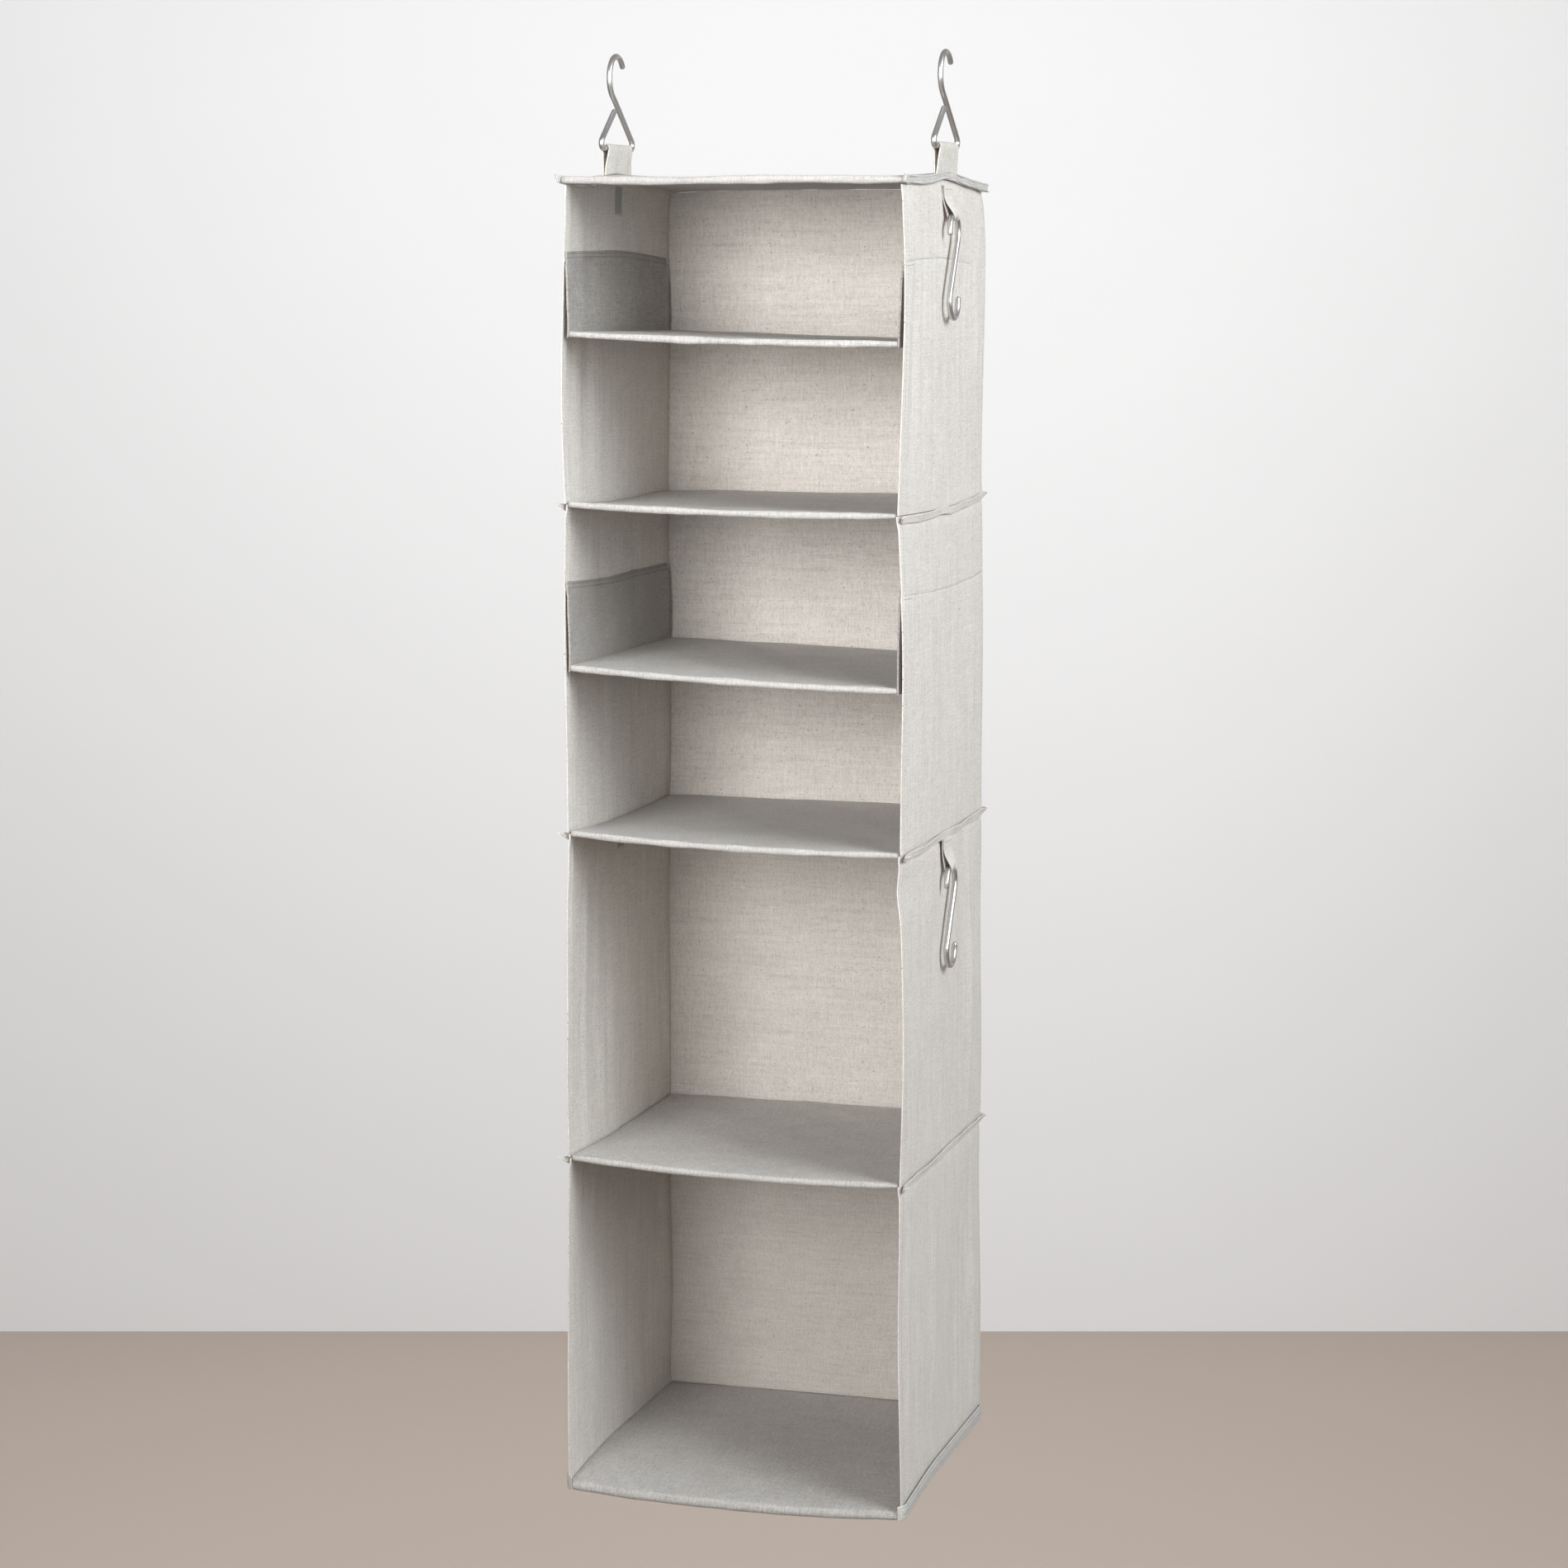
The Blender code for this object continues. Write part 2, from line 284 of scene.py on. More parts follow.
def threads(name, rows, outward, finish, carrier, radius=THREAD_R):
    """Stitches: closed spindles between each row's start and end points, lying on the cloth."""
    sides = 6
    starts, ends = (np.concatenate([row[which] for row in rows]) for which in (0, 1))
    outward = np.broadcast_to(np.asarray(outward, float), starts.shape)
    along = ends - starts
    along /= np.linalg.norm(along, axis=1, keepdims=True)
    across = np.cross(along, outward)
    across /= np.linalg.norm(across, axis=1, keepdims=True)
    upward = np.cross(across, along)
    angles = np.linspace(0, 2 * math.pi, sides, endpoint=False)
    spokes = across[:, None] * np.cos(angles)[None, :, None]
    spokes = spokes + upward[:, None] * np.sin(angles)[None, :, None]
    rings = [starts[:, None]]
    for share, size in ((0.12, 0.75), (0.35, 1.0), (0.65, 1.0), (0.88, 0.75)):
        centre = starts + (ends - starts) * share + upward * radius * 0.35 * size
        rings.append(centre[:, None] + spokes * radius * size)
    rings.append(ends[:, None])
    points = np.concatenate(rings, axis=1)
    per_stitch = points.shape[1]
    faces = []
    last = per_stitch - 1
    for k in range(sides):
        after = (k + 1) % sides
        faces.append((0, 1 + after, 1 + k))
        for ring in range(3):
            base, above = 1 + ring * sides, 1 + (ring + 1) * sides
            faces.append((base + k, base + after, above + after, above + k))
        faces.append((last, last - sides + k, last - sides + after))
    offsets = range(0, per_stitch * len(starts), per_stitch)
    every = [tuple(offset + i for i in face) for offset in offsets for face in faces]
    flat = points.reshape(-1, 3)
    obj = mesh_object(name, flat, every, flat.copy(), finish)
    face_outwards(obj)
    follow(obj, carrier)


def row_of_stitches(point_at, length, begin=0.0, pitch=STITCH_PITCH):
    """Start and end points of a straight-stitch row, spaced along a line on the cloth."""
    marks = np.arange(begin + pitch * 0.3, begin + length - pitch, pitch)
    starts = np.stack(np.broadcast_arrays(*point_at(marks)), axis=-1)
    ends = np.stack(np.broadcast_arrays(*point_at(marks + pitch - STITCH_GAP)), axis=-1)
    return starts, ends


def wire(node, path, x, radius):
    """A hook's round wire in the plane of one x, along (y, z) points, with rounded ends."""
    sides = 20
    line = Path(path)
    even = np.linspace(0, line.length, round(line.length / (1.2 * MM)))
    steps = np.unique(np.concatenate([even, radius * np.array([0.05, 0.3, 0.7])]))
    centre = np.stack([np.full(len(steps), x), *line.at(steps)], axis=-1)
    side = np.stack([0 * steps, *line.side_at(steps)], axis=-1)
    side /= np.linalg.norm(side, axis=1, keepdims=True)
    end = unit(np.minimum(steps, line.length - steps) / radius)
    size = radius * np.sqrt(np.maximum(1 - (1 - end) ** 2, 0.0004))
    angles = np.linspace(0, 2 * math.pi, sides, endpoint=False)
    spokes = side[:, None] * np.cos(angles)[:, None] + np.array([1, 0, 0]) * np.sin(angles)[:, None]
    rings = centre[:, None] + size[:, None, None] * spokes
    index = np.arange(len(steps) * sides).reshape(len(steps), sides)
    closed = np.concatenate([index, index[:, :1]], axis=1)
    faces = [tuple(face) for face in quads(closed)] + [tuple(index[0]), tuple(index[-1][::-1])]
    turn = np.broadcast_to(angles / (2 * math.pi), rings.shape[:2])
    travelled = np.broadcast_to(steps[:, None], rings.shape[:2])
    coordinates = np.stack([travelled, turn * 2 * math.pi * radius, np.full(turn.shape, x)], axis=-1)
    points = rings.reshape(-1, 3)
    obj = mesh_object(node + "_wire", points, faces, coordinates.reshape(-1, 3), STEEL)
    face_outwards(obj)
    stand_for(obj, node, node)


# ---- materials ----
class Nodes:
    """Short calls for building one material's node tree."""

    def __init__(self, name):
        self.material = bpy.data.materials.new(name)
        self.material.use_nodes = True
        self.tree = self.material.node_tree
        self.shader = self.tree.nodes["Principled BSDF"]

    def link(self, source, target):
        self.tree.links.new(source, target)

    def feed(self, node, values):
        for key, value in values.items():
            socket = node.inputs[key]
            if isinstance(value, bpy.types.NodeSocket):
                self.link(value, socket)
            else:
                socket.default_value = value

    def add(self, kind, values=None, **settings):
        node = self.tree.nodes.new(kind)
        for key, value in settings.items():
            setattr(node, key, value)
        self.feed(node, values or {})
        return node

    def math(self, operation, *values):
        return self.add("ShaderNodeMath", dict(enumerate(values)), operation=operation).outputs[0]

    def coordinates(self):
        return self.add("ShaderNodeAttribute", attribute_name="cloth_uv").outputs["Vector"]

    def stretched(self, vector, scale):
        return self.add("ShaderNodeMapping", {"Vector": vector, "Scale": scale}).outputs[0]

    def noise(self, vector, detail=2.0, scale=1.0, roughness=0.5):
        values = {"Vector": vector, "Scale": scale, "Detail": detail, "Roughness": roughness}
        return self.add("ShaderNodeTexNoise", values).outputs[0]

    def ramp(self, value, low, high, to_low=0.0, to_high=1.0):
        values = {0: value, 1: low, 2: high, 3: to_low, 4: to_high}
        return self.add("ShaderNodeMapRange", values).outputs[0]

    def mix(self, factor, first, second, blend_type="MIX"):
        node = self.add("ShaderNodeMix", data_type="RGBA", blend_type=blend_type)
        self.feed(node, {0: factor, 6: first, 7: second})
        return node.outputs[2]

    def patches(self, across, along, detail=2.0, roughness=0.5):
        """Soft light and dark patches from about -1 to 1, with so many to a metre each way."""
        vector = self.stretched(self.coordinates(), (across, along, 1))
        return self.ramp(self.noise(vector, detail, roughness=roughness), 0.3, 0.7, -1, 1)

    def total(self, first, *others):
        """The first value, plus every other (value, weight) pair's product."""
        for value, weight in others:
            first = self.math("ADD", first, self.math("MULTIPLY", value, weight))
        return first

    def surface(self, colour, roughness, **others):
        """Feeds the shader; an underscore in a name stands for a space in its socket's."""
        named = {key.replace("_", " "): value for key, value in others.items()}
        self.feed(self.shader, {"Base Color": colour, "Roughness": roughness, **named})

    def bump(self, height, strength, distance_mm):
        values = {"Height": height, "Strength": strength, "Distance": distance_mm * MM}
        return self.add("ShaderNodeBump", values).outputs[0]


def woven(name, tint, dark, light, slub, speck, bump_mm, fleece, thread_mm=0.9, sheen=0.10, rib=0.0):
    """Plain-weave cloth: threads both ways, slubs along them, odd dark flecks and a soft mottle.

    Each noise is stretched by its own two scales, per metre across the warp and along it.
    """
    n = Nodes(name)
    place = n.coordinates()
    per_metre = 1 / (thread_mm * MM)
    wander = n.noise(n.stretched(place, (140, 140, 1)), detail=1.0)
    parts = n.add("ShaderNodeSeparateXYZ", {"Vector": place}).outputs
    shift = n.math("MULTIPLY", wander, 5.0)
    warp, weft = (
        n.math("SINE", n.math("ADD", n.math("MULTIPLY", parts[axis], math.pi * per_metre), shift))
        for axis in (0, 1)
    )
    crossing = n.math("MULTIPLY", warp, weft)
    streak = n.math("ADD", n.patches(1500, 55, 3.0), n.patches(55, 1500, 3.0))
    fibre = n.patches(1700, 1700)
    ribs = n.patches(270, 13)
    tone = n.total(
        n.math("MULTIPLY", streak, slub),
        (n.patches(38, 26, 4.0), slub * 0.35),
        (n.patches(330, 620, 3.0, 0.65), slub * 1.5),
        (fibre, slub * fleece),
        (ribs, slub * rib),
        (crossing, slub * 0.5),
    )
    colour = n.mix(n.ramp(tone, -1.25, 1.25, 0, 1), (*dark, 1), (*light, 1))
    warm = n.ramp(n.noise(n.stretched(place, (300, 18, 1)), detail=3.0), 0.35, 0.7, 0, 0.4)
    colour = n.mix(warm, colour, (*tint, 1))
    fleck = n.noise(n.stretched(place, (700, 420, 1)), detail=2.0, roughness=0.6)
    fleck = n.math("MULTIPLY", n.ramp(fleck, 0.66, 0.74, 0, 1), speck)
    colour = n.mix(fleck, colour, (dark[0] * 0.45, dark[1] * 0.42, dark[2] * 0.38, 1))
    height = n.total(crossing, (streak, 0.6), (ribs, 1.6 * rib), (fibre, 0.7))
    n.surface(
        colour, n.ramp(tone, -1, 1, 0.95, 0.82), Normal=n.bump(height, 0.7, bump_mm),
        Specular_IOR_Level=0.25, Sheen_Weight=sheen, Sheen_Roughness=0.45,
    )
    return n.material


def thread_finish(name, colour):
    """Spun thread: a fine twist of lighter and darker fibres."""
    n = Nodes(name)
    twist = n.noise(n.stretched(n.coordinates(), (2600, 2600, 2600)), detail=2.0)
    shade = tuple(channel * 0.72 for channel in colour)
    n.surface(n.mix(twist, (*shade, 1), (*colour, 1)), 0.85, Normal=n.bump(twist, 0.5, 0.1))
    return n.material


def steel_finish():
    """Satin bright wire: fine drawing lines along it, faint smudges, uneven polish."""
    n = Nodes("satin_steel")
    place = n.coordinates()
    drawn = n.noise(n.stretched(place, (60, 9000, 1)), detail=3.0)
    smudge = n.noise(n.stretched(place, (90, 200, 1)), detail=3.0)
    colour = n.mix(drawn, (0.52, 0.52, 0.51, 1), (0.80, 0.80, 0.79, 1))
    rough = n.math("ADD", n.ramp(drawn, 0.3, 0.7, 0.27, 0.37), n.ramp(smudge, 0.3, 0.7, 0, 0.08))
    n.surface(colour, rough, Normal=n.bump(drawn, 0.35, 0.03), Metallic=1.0)
    return n.material


def board_finish():
    """Pressed board with short fibres, seen only if a cover is taken off."""
    n = Nodes("pressed_board")
    place = n.coordinates()
    fibres = n.noise(n.stretched(place, (700, 160, 700)), detail=4.0)
    colour = n.mix(fibres, (0.36, 0.29, 0.21, 1), (0.56, 0.47, 0.36, 1))
    n.surface(colour, 0.85, Normal=n.bump(fibres, 0.4, 0.15))
    return n.material


LINEN = woven(
    "natural_linen", tint=(0.80, 0.735, 0.675), dark=(0.49, 0.455, 0.415), light=(0.925, 0.885, 0.84),
    slub=0.34, speck=0.95, bump_mm=0.24, fleece=0.9, thread_mm=1.0, sheen=0.08, rib=0.55,
)
GREY = woven(
    "grey_heather", tint=(0.545, 0.52, 0.495), dark=(0.28, 0.267, 0.255), light=(0.76, 0.73, 0.70),
    slub=0.36, speck=0.35, bump_mm=0.20, fleece=1.9,
)
WEBBING = woven(
    "beige_webbing", tint=(0.75, 0.705, 0.645), dark=(0.48, 0.445, 0.40), light=(0.86, 0.825, 0.77),
    slub=0.38, speck=0.5, bump_mm=0.30, fleece=0.8, thread_mm=1.3, sheen=0.08, rib=0.9,
)
FLAP_GREY = woven(
    "dark_grey_heather", tint=(0.395, 0.37, 0.345), dark=(0.185, 0.173, 0.161), light=(0.575, 0.54, 0.507),
    slub=0.38, speck=0.40, bump_mm=0.22, fleece=1.8,
)
PALE_GREY = woven(
    "pale_grey_heather", tint=(0.63, 0.605, 0.57), dark=(0.37, 0.355, 0.335), light=(0.80, 0.775, 0.74),
    slub=0.36, speck=0.35, bump_mm=0.20, fleece=1.8,
)
PALE_THREAD = thread_finish("pale_thread", (0.60, 0.59, 0.56))
GREY_THREAD = thread_finish("grey_thread", (0.36, 0.37, 0.36))
PATCH_THREAD = thread_finish("patch_thread", (0.44, 0.46, 0.42))
DARK_THREAD = thread_finish("dark_thread", (0.17, 0.165, 0.155))
STEEL = steel_finish()
BOARD = board_finish()


# ---- how the cloth draws the sides in, level by level ----
# Outwards in mm at each sewn level's front corners, from the top panel to the bottom one.
DRAWN = {"left": (-3.0, -1.5, -2.0, -1.0, 1.0), "right": (-2.0, -4.5, -1.0, -1.0, 1.5)}
LEVEL_DROPS = [-SECTIONS[1].top] + [-section.low for section in SECTIONS.values()]
DRAW_REACH = 90 * MM


def pulled(x, y, z):
    """x, moved as the cloth round the level at that height moves it: most at the front edge."""
    left, right = (np.interp(-z, LEVEL_DROPS, DRAWN[side]) * MM for side in SIDES)
    amount = np.where(x < 0, left, right) * (0.35 + 0.65 * np.exp(-np.maximum(y - FRONT, 0) / DRAW_REACH))
    return x + np.sign(x) * (np.abs(x) / HALF_W) ** 2 * amount


# ---- how the stiffened levels bend ----
STRAP_LIFT = 5.4 * MM
STRAP_REACH = 52 * MM
REAR_DROOP = 3.2 * MM
REAR_DROOP_FROM = 50 * MM
TOP_EASE = 30 * MM
# A level's middle stretch, on each side of its centre line, stays even.
EVEN_STRETCH = 25 * MM


def top_warp(x, y):
    """The top panel is pulled up where the two straps hold it, and droops at its rear corners."""
    side = np.abs(x) / HALF_W
    lift = STRAP_LIFT * side**3 * bump(y, 0, STRAP_REACH)
    droop = REAR_DROOP * side**4 * np.clip((y - REAR_DROOP_FROM) / (BACK - REAR_DROOP_FROM), 0, 1.2) ** 2
    wave = 0.5 * MM * np.sin(x / 0.031) * unit((-y) / BACK) ** 2
    return lift - droop + wave


def corner_lift(level, x, y):
    """How far a level's front corners sit above, or below, their even place."""
    share = unit(0.5 + x / (2 * HALF_W))
    near = np.clip((-y - EVEN_STRETCH) / (-FRONT - EVEN_STRETCH), 0, 1.05) ** 1.4
    return (level.front_left * (1 - share) + level.front_right * share) * near * MM


def seam_lift(level, x, y):
    """The same for the seam round it, which also sits higher towards its rear right corner."""
    far = np.clip((y - EVEN_STRETCH) / (BACK - EVEN_STRETCH), 0, 1.05) ** 1.4
    return corner_lift(level, x, y) + level.seam_rear * MM * far * unit(0.5 + x / (2 * HALF_W))


def sling_lift(level, left_share, y):
    """How far a sling shelf hangs above its even place, as if its flaps were of uneven length."""
    front_left, front_right, back_left, back_right = level.lean
    ahead = unit((BACK - y) / DEPTH)
    front = front_left * left_share + front_right * (1 - left_share)
    back = back_left * left_share + back_right * (1 - left_share)
    return (front * ahead + back * (1 - ahead)) * MM


def make_sag(level, half_x, y_front, y_back):
    """A level's front edge hangs lower in its middle, and a sling shelf may hang unevenly."""

    def warp(x, y):
        middle = 1 - unit(np.abs(x) / half_x) ** 2.2
        free = np.clip((y_back - y) / (y_back - y_front), 0, 1.05)
        sag = level.sag * MM * middle * free**0.9
        return sling_lift(level, 0.5 - x / (2 * half_x), y) + corner_lift(level, x, y) - sag

    return warp


# ---- shelves: a sleeve of cloth round a board ----
def sleeve(name, body, warp, bow, corner, seed, wider=0.0):
    """Grey cloth that runs forward over the board, round its front edge and back beneath it."""
    low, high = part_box(name + "_cover")
    half_x = high.x + wider
    radius = (high.z - low.z - SLEEVE_T) / 2
    centre_z = (high.z + low.z) / 2
    run = high.y - low.y - radius - SLEEVE_T / 2
    roll = math.pi * radius
    width = 2 * half_x
    swell = make_waves(seed, 0.28 * MM, 0.05, 0.16)
    ripple = make_waves(seed + 1, 0.16 * MM, 0.018, 0.05)

    def place(u, v):
        x = v - half_x
        turn = np.clip((u - run) / radius, 0, math.pi)
        beyond = np.clip(u - run - roll, 0, None)
        taper = 1 - 0.16 * bump(np.abs(x), half_x, 22 * MM)
        into_corner = np.clip(np.abs(x) - (half_x - corner), 0, corner)
        round_off = corner - np.sqrt(np.maximum(corner**2 - into_corner**2, 0))
        forward = (bow * (1 - (x / half_x) ** 2) - round_off) * unit(u / run) ** 4
        forward = forward * np.where(beyond > 0, unit(1 - beyond / run) ** 4, 1)
        y = high.y - np.minimum(u, run) + beyond - radius * np.sin(turn) - forward
        soft = swell(x, u) + ripple(x, u) * bump(u, run, 40 * MM)
        level = centre_z + (radius * taper + soft) * np.cos(turn) + warp(x, y)
        return pulled(x, y, centre_z), y, level

    us = np.concatenate(
        [
            stations(run, 5.5 * MM)[:-3],
            run + roll * np.linspace(0.0, 1.0, 13),
            run + roll + (run - stations(run, 7 * MM)[:-3][::-1]),
        ]
    )
    vs = stations(width, 5 * MM, lines=(corner, width - corner))
    piece = cloth(name + "_sleeve", us, vs, place, SLEEVE_T, GREY)
    stand_for(piece, name + "_cover", body)


def stiffener(name, body, warp):
    """The board inside a sleeve, bent as its level is."""
    low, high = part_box(name + "_board")
    span_x, span_y = high.x - low.x, high.y - low.y

    def place(u, v):
        x, y = u + low.x, v + low.y
        middle = (low.z + high.z) / 2
        return pulled(x, y, middle), y, middle + warp(x, y)

    us, vs = stations(span_x, 9 * MM), stations(span_y, 9 * MM)
    piece = cloth(name + "_stiffener", us, vs, place, high.z - low.z, BOARD)
    stand_for(piece, name + "_board", body)


Level = namedtuple("Level", "body sag bow corner wider lean front_left front_right seam_rear")
EVEN = (0, 0, 0, 0)
LEVELS = {
    # Millimetres: front edge's sag, its forward bow, corner radius, extra half width, how far a
    # sling's four corners hang above their even place (front left, front right, back left, back
    # right), how far a sewn level's two front corners sit above theirs, and how far the seam round
    # it does at the rear right corner.
    "shelf_1": Level("shelf_1_sling", 2.0, 0.6, 3, 1.9, (4.5, -2.0, 0.0, -8.5), 0.0, 0.0, 0.0),
    "shelf_2": Level("level_2", 2.6, 1.0, 3, 0.0, EVEN, 7.0, 2.0, 6.0),
    "shelf_3": Level("shelf_3_sling", 2.2, 0.6, 3, 1.9, (11.0, 0.0, 8.5, 0.0), 0.0, 0.0, 0.0),
    "shelf_4": Level("level_4", 3.6, 1.0, 3, 0.0, EVEN, 7.0, 0.0, 2.0),
    "shelf_5": Level("level_5", 4.2, 1.0, 3, 0.0, EVEN, 5.5, 0.0, 1.0),
    "bottom": Level("level_6", 5.0, 1.5, 9, 0.0, EVEN, -8.0, -8.0, 0.0),
}
# The sewn levels at the top and the bottom of each section; the first hangs from the top panel.
SEWN = {1: (None, "shelf_2"), 2: ("shelf_2", "shelf_4"), 3: ("shelf_4", "shelf_5"), 4: ("shelf_5", "bottom")}


def make_levels():
    """Each level's board and its sleeve; the levels' seeds follow on from 40, and the top's is 60."""
    for seed, (name, level) in enumerate(LEVELS.items(), start=40):
        low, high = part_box(name + "_cover")
        warp = make_sag(level, high.x, low.y, high.y)
        bow, corner, wider = level.bow * MM, level.corner * MM, level.wider * MM
        sleeve(name, level.body, warp, bow, corner, seed, wider)
        stiffener(name, level.body, warp)
    sleeve("top", "organizer", top_warp, 0.8 * MM, 5 * MM, 60)
    stiffener("top", "organizer", top_warp)


# ---- walls ----
# (side, section): mm the free front edge bows out, and is drawn in below the seam
FRONT_BOW = {
    ("right", 1): (3.6, 0.6), ("left", 1): (3.0, 0.8),
    ("right", 2): (2.8, 0.4), ("left", 2): (1.4, 0.4),
    ("right", 3): (1.4, 3.0), ("left", 3): (1.4, 0.8),
    ("right", 4): (-1.2, 0.3), ("left", 4): (1.0, 0.4),
}
FLAP_TOP = {section.number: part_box(shelf + "_flap_right")[1].z for shelf, section in FLAP_SECTIONS.items()}
# (side, section): mm the flap's top edge and its seam are above their even place, front to back
FLAP_RISE = {
    ("left", 1): (-1.0, 0.8, -5.5), ("right", 1): (-1.0, 1.6, -8.0),
    ("left", 2): (5.5, 7.5, 7.0), ("right", 2): (13.5, 9.0, 8.0),
}
FLAP_SEAM_DROP = 7.5 * MM
HOOK_CLEAR_Y = 30 * MM
# How far the free front edge's bow reaches back, and the gathers below and above a seam.
FREE_REACH = 65 * MM
GATHERS_BELOW = 35 * MM
GATHERS_ABOVE = 25 * MM
SEAM_FLAT = 4 * MM
# How far a wall's edges are drawn in at its seams, and how far below the upper one that lasts.
EDGE_IN = 0.7 * MM
LOWER_WALL_IN = 1.4 * MM
EDGE_IN_REACH = 9 * MM
# The first section is drawn in at its top rear corner.
TOP_REAR_IN = 3.0 * MM
TOP_REAR_DOWN = 22 * MM
TOP_REAR_ALONG = 45 * MM
# A stitched seam's dent, and how far the pleats under a flap's seam run down.
SEAM_DENT = 0.55 * MM
SEAM_DENT_W = 1.1 * MM
PLEATS_DOWN = 50 * MM


class Wall:
    """The outer face of one side wall: soft upright creases and a free, hemmed front edge."""

    def __init__(self, side, section):
        self.side = side
        self.sign = SIDES[side]
        self.section = section
        self.height = section.top - section.low
        self.bow, self.pinch = (size * MM for size in FRONT_BOW[side, section.number])
        seed = 10 * section.number + (side == "right")
        self.creases = make_creases(seed, DEPTH, self.height, 24, 1.7 * MM)
        self.swell = make_waves(seed + 100, 0.8 * MM, 0.11, 0.3)
        self.gathers = make_waves(seed + 200, 0.30 * MM, 0.008, 0.016, count=4)

    def flap_rise(self, depth):
        """How far the flap is sewn above its even place: its seam isn't straight."""
        front, middle, back = FLAP_RISE[self.side, self.section.number]
        t = 2 * depth / DEPTH - 1
        return (middle + (back - front) / 2 * t + ((back + front) / 2 - middle) * t**2) * MM

    def seam_z(self, depth):
        """The flap's stitch line on the outside, below the flap's top edge."""
        return FLAP_TOP[self.section.number] - FLAP_SEAM_DROP + self.flap_rise(depth)

    def outward(self, depth, z):
        down = self.section.top - z
        share = unit(down / self.height)
        arch = np.sin(math.pi * share)
        free = np.exp(-depth / FREE_REACH)
        body = (self.creases(depth, down) + self.swell(depth, down * 0.5)) * arch**0.45
        # Little gathers run down from the seam above and up from the one below.
        up = self.height - down
        near = np.exp(-down / GATHERS_BELOW) + np.exp(-up / GATHERS_ABOVE)
        ease = self.gathers(depth, down * 0.05) * near
        for away in (down, up):
            ease = ease * (1 - np.exp(-np.maximum(away, 0) / SEAM_FLAT))
        calm = 1 - 0.82 * bump(depth + FRONT, 0, HOOK_CLEAR_Y)
        # The lower wall is sewn inside the upper one, so they slide past each other as they fold.
        first, last = self.section.number == 1, self.section.number == 4
        drawn_in = -(EDGE_IN if first else LOWER_WALL_IN) * np.exp(-((down / EDGE_IN_REACH) ** 4))
        drawn_in = drawn_in - (EDGE_IN * np.exp(-up / SEAM_FLAT) if last else 0)
        edge = self.bow * arch**0.8 * free - self.pinch * bump(share, 0.11, 0.07) * free
        total = (body + ease) * calm + drawn_in + edge
        if first:
            near = np.exp(-down / TOP_REAR_DOWN) * np.exp(-(DEPTH - depth) / TOP_REAR_ALONG)
            total = total - TOP_REAR_IN * near
        if self.section.number in FLAP_TOP:
            below = self.seam_z(depth) - z
            total = total - SEAM_DENT * bump(below, 0, SEAM_DENT_W)
            pleats = self.gathers(depth * 0.9, down * 0.04) * unit(below / (4 * MM))
            total = total + 1.5 * pleats * np.exp(-np.clip(below, 0, None) / PLEATS_DOWN) * calm
        return total - 0.25 * MM * bump(depth, HEM_STITCH, 0.9 * MM)

    def lifted(self, depth, z):
        """The upper and lower edges follow the levels that they are sewn to."""
        above, below = SEWN[self.section.number]
        x, y = self.sign * HALF_W, depth + FRONT
        share = unit((self.section.top - z) / self.height)
        z_below = seam_lift(LEVELS[below], x, y) * share
        if above:
            return z + z_below + seam_lift(LEVELS[above], x, y) * (1 - share)
        return z + z_below + top_warp(x, y) * np.exp(-(self.section.top - z) / TOP_EASE)

    def point(self, depth, z, inward=0.0):
        x = self.sign * (HALF_W + self.outward(depth, z) - inward)
        return pulled(x, depth + FRONT, z), depth + FRONT + 0 * z, self.lifted(depth, z)


WALLS = {(side, number): Wall(side, section) for side in SIDES for number, section in SECTIONS.items()}


def hem_thickness(depth, _):
    return WALL_T + (HEM_T - WALL_T) * unit((HEM_W - depth) / (0.7 * MM))


def side_wall(side, section):
    wall = WALLS[side, section.number]
    name = f"side_{side}_{section.number}"

    def place(u, v):
        x, y, z = wall.point(u, section.top - v)
        return x - wall.sign * hem_thickness(u, v) / 2, y, z

    lines = [section.top - wall.seam_z(DEPTH / 2)] if section.number in FLAP_TOP else []
    us = stations(DEPTH, 3.6 * MM, lines=(HEM_STITCH, HEM_W))
    vs = stations(wall.height, 4.2 * MM, lines=lines)
    piece = cloth(name + "_cloth", us, vs, place, hem_thickness, LINEN)
    stand_for(piece, name, section)


def wall_stitches(side, section):
    """Rows down the front hem and the back seam, both faces, and across the flap's seam."""
    wall = WALLS[side, section.number]

    def down(depth, inward):
        return lambda s: wall.point(depth + 0 * s, section.top - s, inward)

    for face, way, hem_in, wall_in in (("outer", 1, 0, 0), ("inner", -1, HEM_T, WALL_T)):
        rows = [
            row_of_stitches(down(HEM_STITCH, hem_in), wall.height),
            row_of_stitches(down(DEPTH - BACK_STITCH, wall_in), wall.height),
        ]
        name = f"hem_stitches_{side}_{section.number}_{face}"
        threads(name, rows, (wall.sign * way, 0, 0), PALE_THREAD, section)
    if section.number not in FLAP_TOP:
        return

    def across(drop):
        return lambda s: wall.point(s, wall.seam_z(s) - drop)

    rows = [
        row_of_stitches(across(drop), length, begin=3 * MM, pitch=CLOSE_PITCH)
        for drop, length in ((0, DEPTH - 8 * MM), (3.4 * MM, 34 * MM))
    ]
    name = f"flap_seam_{side}_{section.number}"
    threads(name, rows, (wall.sign, 0, 0), GREY_THREAD, section)


